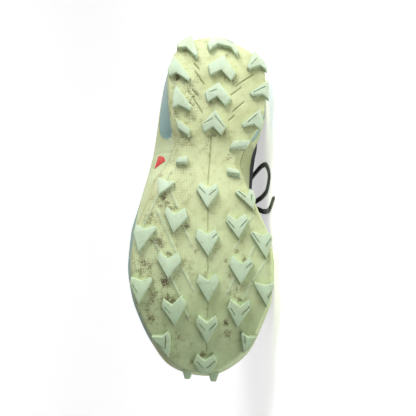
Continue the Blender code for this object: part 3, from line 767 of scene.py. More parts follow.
def prism(corners, low, high, frame_of=Matrix.Identity(4)):
    """Model a closed prism from a flat outline between two depths."""
    bm = bmesh.new()
    face = bm.faces.new([bm.verts.new((*corner, low)) for corner in corners])
    grown = bmesh.ops.extrude_face_region(bm, geom=[face])["geom"]
    tip = verts_in(grown)
    bmesh.ops.translate(bm, verts=tip, vec=(0.0, 0.0, high - low))
    bmesh.ops.recalc_face_normals(bm, faces=bm.faces)
    bm.transform(frame_of)
    return bm, tip


class Value:
    """A value on a surface: arithmetic on it adds Math nodes to its finish."""

    def __init__(self, finish, socket):
        self.finish = finish
        self.socket = socket

    def __add__(self, other):
        return self.finish.math("ADD", self, other)

    def __sub__(self, other):
        return self.finish.math("SUBTRACT", self, other)

    def __rsub__(self, other):
        return self.finish.math("SUBTRACT", other, self)

    def __mul__(self, other):
        return self.finish.math("MULTIPLY", self, other)

    __radd__ = __add__
    __rmul__ = __mul__


class Finish:
    """One material, built up from nodes and from expressions on their values."""

    def __init__(self, name, **constants):
        self.material = bpy.data.materials.new(name)
        self.material.use_nodes = True
        self.tree = self.material.node_tree
        self.shader = self.tree.nodes["Principled BSDF"]
        self.wear(**constants)

    def wear(self, **inputs):
        """Set or link inputs of the shader, named with underscores."""
        for name, value in inputs.items():
            self.plug(value, self.shader.inputs[name.replace("_", " ").title()])

    def plug(self, value, socket):
        """Link a value to a socket, or set a constant on it."""
        if isinstance(value, Value):
            self.tree.links.new(value.socket, socket)
        else:
            socket.default_value = value

    def node(self, kind, settings, inputs, output=0):
        """Add a node, set it up, fill its sockets and return one of its outputs."""
        made = self.tree.nodes.new("ShaderNode" + kind)
        for name, value in settings.items():
            setattr(made, name, value)
        for name, value in inputs.items():
            self.plug(value, made.inputs[name])
        return Value(self, made.outputs[output])

    def math(self, operation, first, second):
        """Work out one value from two."""
        return self.node("Math", {"operation": operation}, {0: first, 1: second})

    def spot(self):
        """Return the place on the surface in the object's frame, in metres."""
        return self.node("TexCoord", {}, {}, output=3)

    def place(self):
        """Return the place on the surface in the shoe's own frame, in millimetres."""
        return self.node(
            "Mapping", {"vector_type": "TEXTURE"},
            {"Vector": self.spot(), "Location": LIE_AT, "Rotation": LIE_TURN, "Scale": (MM, MM, MM)},
        )

    def part(self, place, axis):
        """Return one coordinate of a place."""
        return self.node("SeparateXYZ", {}, {"Vector": place}, output=axis)

    def noise(self, place, patch, detail=3.0, roughness=0.6):
        """Return cloudy values with patches of a width in the place's unit."""
        return self.node(
            "TexNoise", {},
            {"Vector": place, "Scale": 1.0 / patch, "Detail": detail, "Roughness": roughness},
        )

    def knurl(self, place, pitch):
        """Return pits in a slanted grid with a pitch in millimetres."""
        x, y = (self.part(place, axis) * (math.tau / pitch) for axis in (0, 1))
        rows = self.math("SINE", x + y, 0.0)
        return self.step(rows * self.math("SINE", x - y, 0.0), 0.0, 0.9)

    def amount(self, name):
        """Return an amount kept at the mesh's vertices."""
        return self.node("Attribute", {"attribute_name": name}, {}, output=2)

    def step(self, value, low, high):
        """Return 0 below one value, 1 above another and a smooth rise between."""
        return self.node("MapRange", {"interpolation_type": "SMOOTHSTEP"}, {0: value, 1: low, 2: high})

    def mix(self, first, second, share):
        """Blend two colours."""
        return self.node("Mix", {"data_type": "RGBA"}, {0: share, 6: first, 7: second}, output=2)

    def bump(self, height, distance, strength=1.0):
        """Return a normal that a height in shares of a distance in millimetres tilts."""
        return self.node(
            "Bump", {}, {"Height": height, "Distance": distance * MM, "Strength": strength},
        )


def size(name):
    """Return a size of the panel in millimetres."""
    return getattr(bpy.context.scene.shoe_sizes, name) / MM


def colour(name):
    """Return a colour of the panel as a shader takes it."""
    return (*getattr(bpy.context.scene.shoe_colours, name), 1.0)


def rubber_finish(name, clean, aged):
    """Moulded rubber: stained, soiled in its hollows, finely pitted, with painted shade at the toe and the
    arch.
    """
    rubber = Finish(name)
    place = rubber.place()
    clouds = rubber.noise(place, 28.0, 4.0)
    drifts = rubber.noise(place, 7.0, 5.0, 0.65)
    blots = rubber.noise(place, 2.8, 5.0, 0.75)
    grain = rubber.noise(place, 1.6, 3.0)
    specks = rubber.noise(place, 0.9, 3.0, 0.7)
    soil = rubber.amount("soil")
    grip = rubber.amount("grip")
    knurl = rubber.knurl(place, size("grip_pitch")) * grip
    rubbed = rubber.amount("crest")
    ragged = soil * rubber.step(blots * 0.7 + drifts * 0.5, 0.4, 0.8) * 1.6
    held = rubber.step(ragged * 0.8 + drifts * 1.5 + blots * 0.6, 0.94, 1.85)
    caked = rubber.step(ragged * specks, 0.55, 1.05)
    tint = rubber.mix(colour(clean), colour(aged), rubber.step(clouds + drifts * 0.5, 0.6, 1.0) * 0.8)
    # Painted shade: the rubber turns darker and greener towards the toe, where the tread turns up away from
    # the key lamp
    tint = rubber.mix(tint, colour("toe"), rubber.step(rubber.part(place, 0), 110.0, 300.0) * 0.5)
    tint = rubber.mix(tint, colour("stain"), held * 0.42 + knurl * 0.1)
    # Darker grooves, and painted shade on the arch's medial wall
    tint = rubber.mix(tint, colour("groove"), rubber.amount("line") * 0.6)
    strewn = held * 0.6 + grip * rubber.step(drifts, 0.42, 0.62) * 0.3 + 0.15
    pepper = rubber.step(specks + held * 0.16 + knurl * 0.16, 0.56, 0.7) * strewn
    tint = rubber.mix(tint, colour("soil"), pepper * 0.85 + caked * 0.5)
    tint = rubber.mix(tint, colour("lug"), rubbed * 0.55)
    rubber.wear(base_color=tint, roughness=0.55 + held * 0.2 + grain * 0.1)
    rubber.wear(normal=rubber.bump(grain + specks * 0.5 - knurl + caked, 0.14))
    return rubber.material


def tread_relief(x, y):
    """Return how far the tread's base stands proud, and the soil that its lines hold."""
    proud = np.zeros_like(x)
    soil = np.zeros_like(x)
    for line in RIDGES:
        proud = np.maximum(proud, size("ridge") * crest(distance_to(x, y, line), RIDGE_HALF_WIDTH))
    for lines, depth in ((SIPES, SIPE_DEPTH), (CENTRE_LINE, CENTRE_DEPTH)):
        for line in lines:
            groove = crest(distance_to(x, y, line), SIPE_HALF_WIDTH)
            proud -= depth * groove
            soil = np.maximum(soil, groove)
    return proud, soil


def soil_at(x, y):
    """Return the soil caught in the notches and strewn over the tread."""
    soil = np.zeros_like(x)
    for row in SOIL_ROWS:
        patch = dict(zip(SOIL_COLUMNS, row))
        far = np.hypot(x - patch["x"], y - patch["y"]) / patch["radius"]
        soil += patch["amount"] * np.exp(-(far**2))
    return soil


def arch_shade_and_pebbles(places):
    """Return where shade is painted on the medial wall of the arch, which is pebbled there too."""
    x = places[:, 0]
    return (places[:, 1] < 0) * rise_between(x, *RECESS_START) * fall_between(x, *RECESS_END)


def tread_sheet(loops):
    """Model the rubber sheet under the foot with its lines, and mark its soil and painted shade."""
    arc = np.radians((0.0, 30.0, 60.0, 90.0))
    rings = [
        loops.wall(loops.base_z + EDGE_ROUND * (1 - math.cos(t)), EDGE_ROUND * (1 - math.sin(t)))
        for t in arc
    ]
    rings += [
        loops.wall(loops.wrap_z - WRAP_EDGE),
        loops.wall(loops.wrap_z - WRAP_CHAMFER, WRAP_CHAMFER),
        loops.wall(loops.wrap_z, WRAP_EDGE),
        loops.wall(loops.wrap_z, SHEET),
        loops.wall(loops.base_z + SHEET, SHEET),
    ]
    bm, places, _, ring = layer(loops, TREAD_ACROSS, rings)
    proud, groove = tread_relief(places[:, 0], places[:, 1])
    places[:, 2] -= np.where(ring == 0, proud, 0.0)
    mark(bm, "soil", soil_at(places[:, 0], places[:, 1]))
    # The grooves' darker lines, and painted shade on the arch's medial wall
    mark(bm, "line", np.where(ring == 0, groove, 0.6 * arch_shade_and_pebbles(places)))
    mark(bm, "crest", np.where(ring == 0, np.clip(proud / size("ridge"), 0, 1), 0.0))
    mark(bm, "grip", rise_between(places[:, 1] - GRIP_SLANT * places[:, 0], *GRIP_START))
    settle(bm, places)
    return bm


def cut_at_edge(bm, loops):
    """Cut a lug off where it passes the tread's edge."""
    edge = loops.tread
    normals = outward(edge)
    for _ in range(EDGE_CUTS):
        corners = np.array([vert.co[:2] for vert in bm.verts])
        near = np.argmin(np.linalg.norm(corners[:, None] - edge[None], axis=2), axis=1)
        excess = np.sum((corners - edge[near]) * normals[near], axis=1)
        worst = near[np.argmax(excess)]
        if excess.max() < EDGE_OVERHANG + GAP:
            return
        bmesh.ops.bisect_plane(
            bm, geom=bm.verts[:] + bm.edges[:] + bm.faces[:], clear_outer=True,
            plane_co=(*(edge[worst] + normals[worst] * EDGE_OVERHANG), 0.0),
            plane_no=(*normals[worst], 0.0),
        )
        bmesh.ops.holes_fill(bm, edges=rims(bm))


def lug_frame(corners):
    """Return the frame of a lug's root, square to the tread, below the middle of its face."""
    x, y = np.mean(corners, axis=0)
    rise = base_height(x + SLOPE_REACH) - base_height(x - SLOPE_REACH)
    slope = float(rise) / (2 * SLOPE_REACH)
    lean = Matrix.Rotation(-math.atan(slope), 4, "Y")
    root_x = x - (lean @ Vector((0.0, 0.0, -LUG_HEIGHT))).x
    return Matrix.Translation((root_x, y, float(base_height(root_x)))) @ lean


def on_face(corners, points):
    """Return points of the plan in a lug's own frame."""
    x, y = np.mean(corners, axis=0)
    lean = lug_frame(corners)[0][0]
    return [Vector(((a - x) / lean, b - y)) for a, b in points]


def lug(stud, loops):
    """Model one lug with drafted sides and softened edges."""
    corners = stud["corners"]
    bm, tip = prism(on_face(corners, corners), LUG_ROOT, -LUG_HEIGHT)
    root = [vert for vert in bm.verts if vert not in tip]
    bmesh.ops.scale(bm, verts=root, vec=(1 / LUG_DRAFT, 1 / LUG_DRAFT, 1.0))
    if len(corners) == 4:
        ahead = [vert for vert in root if vert.co.x > 0]
        bmesh.ops.translate(bm, verts=ahead, vec=(BAR_SLOPE, 0.0, 0.0))
    keen = [item for item in bm.edges if any(vert in tip for vert in item.verts)]
    soften(bm, keen, size("lug_edge"), 2)
    bm.transform(lug_frame(corners))
    press(bm)
    cut_at_edge(bm, loops)
    bmesh.ops.recalc_face_normals(bm, faces=bm.faces)
    return bm


def slot_tools(stud):
    """Model the cutters of a lug's slots."""
    tools = []
    for x, y, to_x, to_y in stud["slots"]:
        start, end = on_face(stud["corners"], ((x, y), (to_x, to_y)))
        run = (end - start).normalized()
        wide = Vector((-run.y, run.x)) * SLOT_WIDTH / 2
        corners = (start - wide, end - wide, end + wide, start + wide)
        tool, _ = prism(
            corners, SLOT_DEPTH - LUG_HEIGHT, -LUG_HEIGHT - SLOT_CLEAR, lug_frame(stud["corners"]),
        )
        tools.append(tool)
    return tools


def nub(y):
    """Model one nub on the front of the toe."""
    square = ((-0.5, -0.5), (0.5, -0.5), (0.5, 0.5), (-0.5, 0.5))
    root_x = NUB_X - abs(y) * NUB_FALL
    turn = Matrix(((0, 0, 1), (1, 0, 0), (0, 1, 0))).to_4x4()
    frame_of = Matrix.Translation((root_x, y, NUB_Z)) @ turn
    bm, tip = prism([(a * NUB_WIDTH, b * NUB_DEPTH) for a, b in square], 0.0, NUB_LENGTH)
    bmesh.ops.scale(bm, verts=tip, vec=(NUB_TIP / NUB_WIDTH, NUB_TIP / NUB_DEPTH, 1.0))
    bmesh.ops.translate(bm, verts=tip, vec=(0.0, NUB_RISE, 0.0))
    soften(bm, bm.edges[:], NUB_EDGE, 3)
    bm.transform(frame_of)
    return bm


def length_prop(name, description, default):
    """Return a setting for a length."""
    return FloatProperty(name=name, description=description, default=default, unit="LENGTH")


def colour_prop(name, description, *default):
    """Return a setting for a colour."""
    return FloatVectorProperty(name=name, description=description, default=default, subtype="COLOR")


class ShoeSizes(bpy.types.PropertyGroup):
    """Sizes of the shoe's details."""

    lug_edge: length_prop("Lug edges", "Rounding of the lugs' edges", 0.0006)
    ridge: length_prop("Ridges", "Height of the tread's ridges", 0.0008)
    grip_pitch: length_prop("Knurl", "Pitch of the tread's knurl", 0.0028)
    crease: length_prop("Creases", "Depth of the upper's creases", 0.0013)
    band: length_prop("Bands", "Thickness of the upper's bands", 0.0006)
    collar: length_prop("Collar", "Thickness of the collar's padding", 0.003)
    lace_width: length_prop("Lace width", "Width of the flat lace", 0.0048)
    lace_thickness: length_prop("Lace thickness", "Thickness of the flat lace", 0.0024)
    tip_length: length_prop("Lace tips", "Length of the lace's tips", 0.016)


class ShoeColours(bpy.types.PropertyGroup):
    """Colours of the shoe's finishes."""

    rubber: colour_prop("Rubber", "Clean base of the tread", 0.64, 0.70, 0.40)
    rubber_aged: colour_prop("Aged rubber", "Yellowed base of the tread", 0.56, 0.60, 0.30)
    lug: colour_prop("Lugs", "Clean faces of the lugs", 0.58, 0.72, 0.53)
    lug_aged: colour_prop("Aged lugs", "Yellowed parts of the lugs", 0.56, 0.67, 0.45)
    # Painted shade: darker, greener rubber towards the toe
    toe: colour_prop("Toe", "Painted shade towards the toe", 0.41, 0.58, 0.32)
    stain: colour_prop("Stain", "Thin soil rubbed into the rubber", 0.34, 0.31, 0.14)
    # Grooves: also the painted shade on the arch's medial wall
    groove: colour_prop("Grooves", "Thin grooves of the tread", 0.22, 0.23, 0.09)
    soil: colour_prop("Soil", "Specks of soil", 0.07, 0.05, 0.025)
    foam: colour_prop("Foam", "Side of the midsole", 0.62, 0.70, 0.43)
    foam_aged: colour_prop("Aged foam", "Yellowed side of the midsole", 0.59, 0.65, 0.35)
    wedge: colour_prop("Heel wedge", "Firm wedge under the heel", 0.25, 0.40, 0.37)
    inset: colour_prop("Inset", "Inset in the side of the arch", 0.66, 0.07, 0.06)
    lace: colour_prop("Lace", "Yarn of the lace", 0.022, 0.03, 0.03)
    lace_light: colour_prop("Lace highlight", "Raised yarns of the lace", 0.06, 0.075, 0.072)
    wedge_light: colour_prop("Wedge highlight", "Rubbed parts of the wedge", 0.30, 0.45, 0.42)
    inset_worn: colour_prop("Worn inset", "Rubbed parts of the inset", 0.70, 0.13, 0.10)
    mesh: colour_prop("Mesh", "Yarn of the upper", 0.012, 0.016, 0.017)
    mesh_light: colour_prop("Mesh highlight", "Raised yarn of the upper", 0.032, 0.04, 0.041)
    overlay: colour_prop("Bands", "Smooth bands over the mesh", 0.017, 0.022, 0.023)
    dust: colour_prop("Dust", "Dry dust on the upper", 0.30, 0.27, 0.2)
    footbed: colour_prop("Footbed", "Cloth of the insole", 0.08, 0.095, 0.1)
    floor: colour_prop("Floor", "Floor and backdrop", 0.9, 0.9, 0.9)


class ShoeLight(bpy.types.PropertyGroup):
    """Studio light."""

    key: FloatProperty(name="Key", description="Soft light from the heel", default=20.0, unit="POWER")
    fill: FloatProperty(name="Fill", description="Soft light from the camera", default=0.8, unit="POWER")
    sky: FloatProperty(name="Surround", description="Even light from all round", default=0.1)
    floor: FloatProperty(name="Floor glow", description="Light that the floor gives off", default=0.6)


class SHOE_OT_stage(bpy.types.Operator):
    """Set up the floor, the light and the camera"""

    bl_idname = "shoe.stage"
    bl_label = "Stage"

    def execute(self, context):
        light = context.scene.shoe_light
        self.floor(light.floor)
        self.camera(context)
        self.lamp("key", light.key, *KEY_LAMP)
        self.lamp("fill", light.fill, *FILL_LAMP)
        world = bpy.data.worlds.new("surround")
        world.use_nodes = True
        sky = world.node_tree.nodes["Background"]
        sky.inputs["Color"].default_value = (1.0, 1.0, 1.0, 1.0)
        sky.inputs["Strength"].default_value = light.sky
        context.scene.world = world
        context.scene.view_settings.view_transform = "Standard"
        return {"FINISHED"}

    def floor(self, glow):
        """Add a pale floor that curves up into a backdrop."""
        bm = bmesh.new()
        near = bm.verts.new((-FLOOR_HALF, -FLOOR_HALF, 0.0))
        turn = bm.verts.new((-FLOOR_HALF, FLOOR_BACK, 0.0))
        bm.edges.new((near, turn))
        bmesh.ops.spin(
            bm, geom=[turn], cent=(-FLOOR_HALF, FLOOR_BACK, FLOOR_BEND), axis=(1.0, 0.0, 0.0),
            angle=math.radians(90), steps=12, use_duplicate=False,
        )
        top = max(bm.verts, key=lambda vert: vert.co.z)
        rise = bm.verts.new((-FLOOR_HALF, FLOOR_BACK + FLOOR_BEND, FLOOR_HALF))
        bm.edges.new((top, rise))
        grown = bmesh.ops.extrude_edge_only(bm, edges=bm.edges[:])["geom"]
        bmesh.ops.translate(bm, verts=verts_in(grown), vec=(2 * FLOOR_HALF, 0.0, 0.0))
        paint = Finish("floor_paint", roughness=0.9, base_color=colour("floor"))
        paint.wear(emission_color=colour("floor"), emission_strength=glow)
        mesh = mesh_of(bm, "floor")
        mesh.materials.append(paint.material)
        mesh.shade_smooth()
        floor = link("floor", mesh)

    def camera(self, context):
        """Look at the tread at the photograph's angle, rolled so that the heel is up."""
        toe, medial = math.sin(math.radians(VIEW_FROM_TOE)), math.sin(math.radians(VIEW_FROM_MEDIAL))
        back = Vector((toe, -medial, -math.sqrt(1 - toe**2 - medial**2)))
        right = (-back).cross(Vector((-1.0, 0.0, 0.0))).normalized()
        up = back.cross(right)
        turn = Matrix((right, up, back)).transposed().to_4x4()
        turn = turn @ Matrix.Rotation(math.radians(VIEW_ROLL), 4, "Z")
        place = SHOE @ (VIEW_TARGET + back * VIEW_DISTANCE)
        lens = bpy.data.cameras.new("camera")
        lens.lens = VIEW_LENS
        lens.sensor_width = 36.0
        lens.clip_start = 0.01
        context.scene.camera = camera = link("camera", lens)
        camera.matrix_world = Matrix.Translation(place) @ LIE_TURN.to_matrix().to_4x4() @ turn

    def lamp(self, name, power, place, width):
        """Add a soft lamp that points at the shoe."""
        lamp = bpy.data.lights.new(name, "AREA")
        lamp.energy = power
        lamp.size = width
        holder = link(name, lamp)
        holder.location = place
        aim = LAMP_TARGET - Vector(place)
        holder.rotation_euler = aim.to_track_quat("-Z", "Y").to_euler()


def lace_finish(name):
    """Flat lace, woven in a herringbone and dusted with soil."""
    yarn = Finish(name, sheen_weight=0.35, sheen_roughness=0.5)
    run, across = yarn.amount("run"), yarn.amount("across")
    spot = yarn.spot()
    slant = yarn.math("ABSOLUTE", across, 0.0) * 2.6 + run * 4.2
    weave = yarn.math("SINE", slant, 0.0) * 0.5 + 0.5
    fuzz = yarn.noise(spot, 0.6 * MM, 2.0)
    dust = yarn.step(yarn.noise(spot, 14.0 * MM, 4.0), 0.45, 0.75)
    tint = yarn.mix(colour("lace"), colour("lace_light"), weave * 0.55 + dust * 0.3)
    yarn.wear(base_color=tint, roughness=0.7 + fuzz * 0.2)
    yarn.wear(normal=yarn.bump(weave * 0.7 + fuzz * 0.5, 0.35))
    return yarn.material


def tube(rings):
    """Model an open tube through rings of points."""
    rings = np.asarray(rings)
    count = rings.shape[1]
    bm = bmesh.new()
    bmesh.ops.create_circle(bm, segments=count, radius=1.0)
    grid, ring = grow(bm, bm.edges[:], len(rings))
    column = np.rint(np.arctan2(grid[:, 1], grid[:, 0]) * count / math.tau).astype(int) % count
    place_all(bm, rings[ring, column])
    return bm, ring, column


def spread(points, step):
    """Read a smooth curve through points at even steps."""
    points = np.array(points, dtype=float)
    runs = runs_of(points[:, :3])
    slopes = np.gradient(points, runs, axis=0)
    steps = np.linspace(0.0, runs[-1], round(runs[-1] / step) + 1)
    columns = zip(points.T, slopes.T)
    return np.column_stack([hermite(steps, runs, values, rates) for values, rates in columns])


def band(points, ups, widths, sides=12):
    """Sweep a plump flat band through points, its broad face square to given directions."""
    heads = unit(np.gradient(points, axis=0))
    across = unit(np.cross(heads, ups))
    ups = np.cross(across, heads)
    angles = turns(sides)
    wide = np.cos(angles) / 2
    thick = plump(angles, 0.6) / 2
    rings = (
        points[:, None]
        + across[:, None] * (wide[None] * widths[:, None])[..., None]
        + ups[:, None] * (thick * size("lace_thickness"))[None, :, None]
    )
    bm, ring, column = tube(rings)
    mark(bm, "run", runs_of(points)[ring])
    mark(bm, "across", wide[column] * widths[ring])
    close(bm)
    return bm


def flat_ups(points):
    """Return directions that carry a band along without twist, flat where it lies lowest."""
    heads = [Vector(head).normalized() for head in np.gradient(points, axis=0)]
    start = int(np.argmin(np.round(points[:, 2], 1)))
    ups = [Vector((0.0, 0.0, 1.0))] * len(heads)
    for order in (range(start + 1, len(heads)), range(start - 1, -1, -1)):
        last = start
        for i in order:
            ups[i] = heads[last].rotation_difference(heads[i]) @ ups[last]
            last = i
    return np.array(ups)


def aglet(points):
    """Model the crimped tip that binds a lace's end."""
    start = np.argmax(runs_of(points[::-1])[1:] > size("tip_length"))
    tail = points[-1 - start:]
    past = tail[-1] + AGLET_PAST * unit(np.gradient(tail, axis=0))[-1]
    tail = spread(np.vstack((tail, past)), 1.0)
    angles = turns(AGLET_SIDES)
    circle = np.column_stack((np.cos(angles), np.sin(angles), 0 * angles))
    rings = []
    for i, (place, head) in enumerate(zip(tail, np.gradient(tail, axis=0))):
        turn = np.array(Vector(head).to_track_quat("Z", "Y").to_matrix())
        share = i / (len(tail) - 1)
        taper = AGLET_TAPER * max(0.0, share - 0.9) / 0.1
        brim = AGLET_BRIM if share < 0.1 else 0.0
        rings.append(place + (AGLET_RADIUS * (1 - taper) + brim) * circle @ turn.T)
    bm, _, _ = tube(rings)
    close(bm)
    return bm


class SHOE_OT_bow(bpy.types.Operator):
    """Lay the loops and ends of the lace"""

    bl_idname = "shoe.bow"
    bl_label = "Bow"

    def execute(self, context):
        metres = Matrix.Scale(MM, 4)
        finish = lace_finish("lace_yarn")
        tip = Finish("aglet_film", roughness=0.3, coat_weight=0.3, coat_roughness=0.2)
        wear = tip.noise(tip.spot(), 2.0 * MM)
        tip.wear(base_color=tip.mix(colour("lace"), colour("lace_light"), wear))
        tip.wear(normal=tip.bump(wear, 0.1))
        for name, route in CORD_ROUTES.items():
            points = spread(route, CORD_STEP)
            lying = np.clip((CORD_RISEN - points[:, 2]) / CORD_BLEND, 0, 1)
            points[:, 2] -= lying * (CORD_LIE - size("lace_thickness") / 2)
            widths = np.full(len(points), size("lace_width"))
            ends = []
            if "end" in name:
                left = (runs_of(points[::-1])[::-1] - size("tip_length")) / CRIMP_RUN + 0.5
                widths *= np.clip(CRIMP + (1 - CRIMP) * left, CRIMP, 1)
                tip_name = name.replace("lace_end", "lace_tip")
                ends = [add_piece(tip_name, aglet(points), tip.material, "lace_textile", lay=metres)]
            bm = band(points, flat_ups(points), widths)
            cord_name = name.replace("lace", "flat_lace")
            cord = add_piece(cord_name, bm, finish, "lace_textile", name, lay=metres)
            points[0] * MM
            size("lace_width") * MM
            points * MM
        return {"FINISHED"}


class SHOE_OT_outsole(bpy.types.Operator):
    """Model the tread's sheet and its lugs"""

    bl_idname = "shoe.outsole"
    bl_label = "Outsole"

    def execute(self, context):
        loops = Loops(SOLE_STATIONS)
        sheet = rubber_finish("tread_rubber", "rubber", "rubber_aged")
        add_piece("tread_sheet", tread_sheet(loops), sheet, "outsole_rubber", "outsole")
        studs = [dict(zip(LUG_COLUMNS, row)) for row in LUG_ROWS]
        body = gather([lug(stud, loops) for stud in studs] + [nub(y) for y in NUB_SIDES])
        slots = gather([tool for stud in studs for tool in slot_tools(stud)])
        bm = cut(body, slots)
        places = np.array([vert.co for vert in bm.verts])
        height = (base_height(places[:, 0]) - places[:, 2]) / LUG_HEIGHT
        mark(bm, "soil", np.clip(LUG_SOIL - LUG_SOIL_FADE * height, 0, 1) * (places[:, 0] < NUB_START_X))
        for name in ("grip", "line", "crest"):
            mark(bm, name, 0.0 * height)
        finish = rubber_finish("lug_rubber", "lug", "lug_aged")
        add_piece("tread_lugs", bm, finish, "outsole_rubber", "outsole")
        return {"FINISHED"}


def wedge_finish():
    """Firm satin plastic with fine scratches and rubbed patches."""
    plastic = Finish("wedge_plastic", coat_weight=0.15, coat_roughness=0.35)
    place = plastic.place()
    clouds = plastic.noise(place, 16.0, 4.0)
    pores = plastic.noise(place, 0.9, 2.0)
    streaks = plastic.node("VectorMath", {"operation": "MULTIPLY"}, {0: place, 1: (0.12, 1.0, 1.6)})
    scratches = plastic.step(plastic.noise(streaks, 1.4, 2.0), 0.66, 0.72)
    tint = plastic.mix(colour("wedge"), colour("wedge_light"), plastic.step(clouds, 0.35, 0.75))
    tint = plastic.mix(tint, colour("foam"), scratches * 0.25 + plastic.amount("front"))
    plastic.wear(base_color=tint, roughness=0.38 + clouds * 0.2 + scratches * 0.15)
    plastic.wear(normal=plastic.bump(pores - scratches * 0.5, 0.06))
    return plastic.material


def foam_finish():
    """Moulded foam with a pebbled skin: yellowed, soiled in its grooves, with painted shade in the arch."""
    foam = Finish("midsole_skin")
    place = foam.place()
    clouds = foam.noise(place, 24.0, 4.0)
    pebbles = foam.node(
        "TexVoronoi", {"feature": "SMOOTH_F1"}, {"Vector": place, "Scale": 0.9, "Smoothness": 0.6},
    )
    specks = foam.noise(place, 1.2, 2.0, 0.7)
    soil = foam.amount("soil")
    tint = foam.mix(colour("foam"), colour("foam_aged"), foam.step(clouds, 0.38, 0.7))
    tint = foam.mix(tint, colour("stain"), foam.step(soil + clouds * 0.4, 0.3, 1.3) * 0.7)
    tint = foam.mix(tint, colour("soil"), foam.step(specks + soil * 0.12, 0.66, 0.76) * 0.5)
    # Painted shade on the arch's medial wall, mottled by the pebbles, which are deeper there
    shade_and_pebbles = foam.amount("shade_and_pebbles")
    tint = foam.mix(tint, colour("groove"), shade_and_pebbles * (0.25 + pebbles * 0.5))
    tint = foam.mix(tint, colour("wedge"), foam.amount("trim") * 0.85)
    foam.wear(base_color=tint, roughness=0.6 + clouds * 0.15)
    foam.wear(normal=foam.bump(specks * 0.4 - pebbles * (0.5 + shade_and_pebbles * 1.5), 0.16))
    return foam.material


class SHOE_OT_heel_wedge(bpy.types.Operator):
    """Model the firm wedge under the heel"""

    bl_idname = "shoe.heel_wedge"
    bl_label = "Heel wedge"

    def execute(self, context):
        loops = Loops(SOLE_STATIONS)
        last = round(WEDGE_END * SOLE_STATIONS)
        rise = loops.wedge_z - loops.wrap_z
        rings = [
            loops.wall(loops.base_z + SHEET, SHEET + GAP, GAP),
            loops.wall(loops.wrap_z, SHEET + GAP, GAP),
            loops.wall(loops.wrap_z, WEDGE_EDGE, GAP),
            loops.wall(loops.wrap_z + WEDGE_EDGE, WEDGE_INSET, GAP),
        ]
        for share in WEDGE_RINGS:
            hollow = WEDGE_HOLLOW * math.sin(math.pi * share)
            rings.append(loops.wall(loops.wrap_z + rise * share, WEDGE_INSET + hollow))
        rings.append(loops.wall(loops.wedge_z, WEDGE_EDGE))
        bm, places, station, _ = layer(loops, BLOCK_ACROSS, rings, last)
        above = places[:, 2] - loops.wrap_z[station]
        past = np.maximum(places[:, 0] - WEDGE_NOSE_X, 0.0)
        rounding = WEDGE_NOSE_RISE * past**2 / WEDGE_NOSE_RUN**2
        mark(bm, "front", rise_between(rounding - above, 0.6, 1.4))
        places[:, 0] -= np.where(station == last, WEDGE_END_GAP, 0.0)
        settle(bm, places)
        add_piece("heel_panel", bm, wedge_finish(), "wedge_plastic", "heel_wedge")
        return {"FINISHED"}


def side_point(s, share):
    """Return a point on the lateral side wall at a station and a share of its height."""
    blend = 1 - (1 - share) ** 2
    low = np.array((along(TREAD_ENDS, s), read(SOLE, "tread_lat", s), read(SOLE, "base_z", s)))
    high = np.array((along(RIM_ENDS, s), read(SOLE, "rim_lat", s), read(SOLE, "rim_z", s)))
    return Vector(low + (high - low) * (blend, blend, share))


def side_frame(x, share):
    """Return a frame on the lateral side wall: along it, up it and out of it."""
    s = float(station_of(x))
    forward = (side_point(s + SIDE_STEP, share) - side_point(s - SIDE_STEP, share)).normalized()
    upward = side_point(s, share + RISE_STEP) - side_point(s, share - RISE_STEP)
    out = upward.cross(forward).normalized()
    turn = Matrix((forward, forward.cross(out), out)).transposed().to_4x4()
    return Matrix.Translation(side_point(s, share)) @ turn


def inset_block(shrink, low, high):
    """Model the inset with rounded corners between two depths."""
    middle = np.mean(INSET_CORNERS, axis=0)
    corners = [middle + (np.array(corner) - middle) * shrink for corner in INSET_CORNERS]
    bm, _ = prism(corners, low, high)
    upright = [item for item in bm.edges if abs(item.verts[0].co.z - item.verts[1].co.z) > 1]
    soften(bm, upright, INSET_CORNER, 5)
    return bm


def midsole_relief(x, share, lateral):
    """Return how far the midsole's wall is cut in, by section, share of its height and side."""
    cut_in = np.zeros_like(x)
    for line in SIDE_LINES:
        x0, up0, x1, up1 = line
        far = distance_to(x, share * SIDE_SCALE, (x0, up0 * SIDE_SCALE, x1, up1 * SIDE_SCALE))
        cut_in = np.maximum(cut_in, SIDE_LINE_DEPTH * crest(far, SIDE_LINE_HALF_WIDTH))
    parting = SIDE_LINE_DEPTH * crest(np.abs(share - PARTING_UP) * SIDE_SCALE, SIDE_LINE_HALF_WIDTH)
    return np.where(lateral, np.maximum(cut_in, parting), parting)


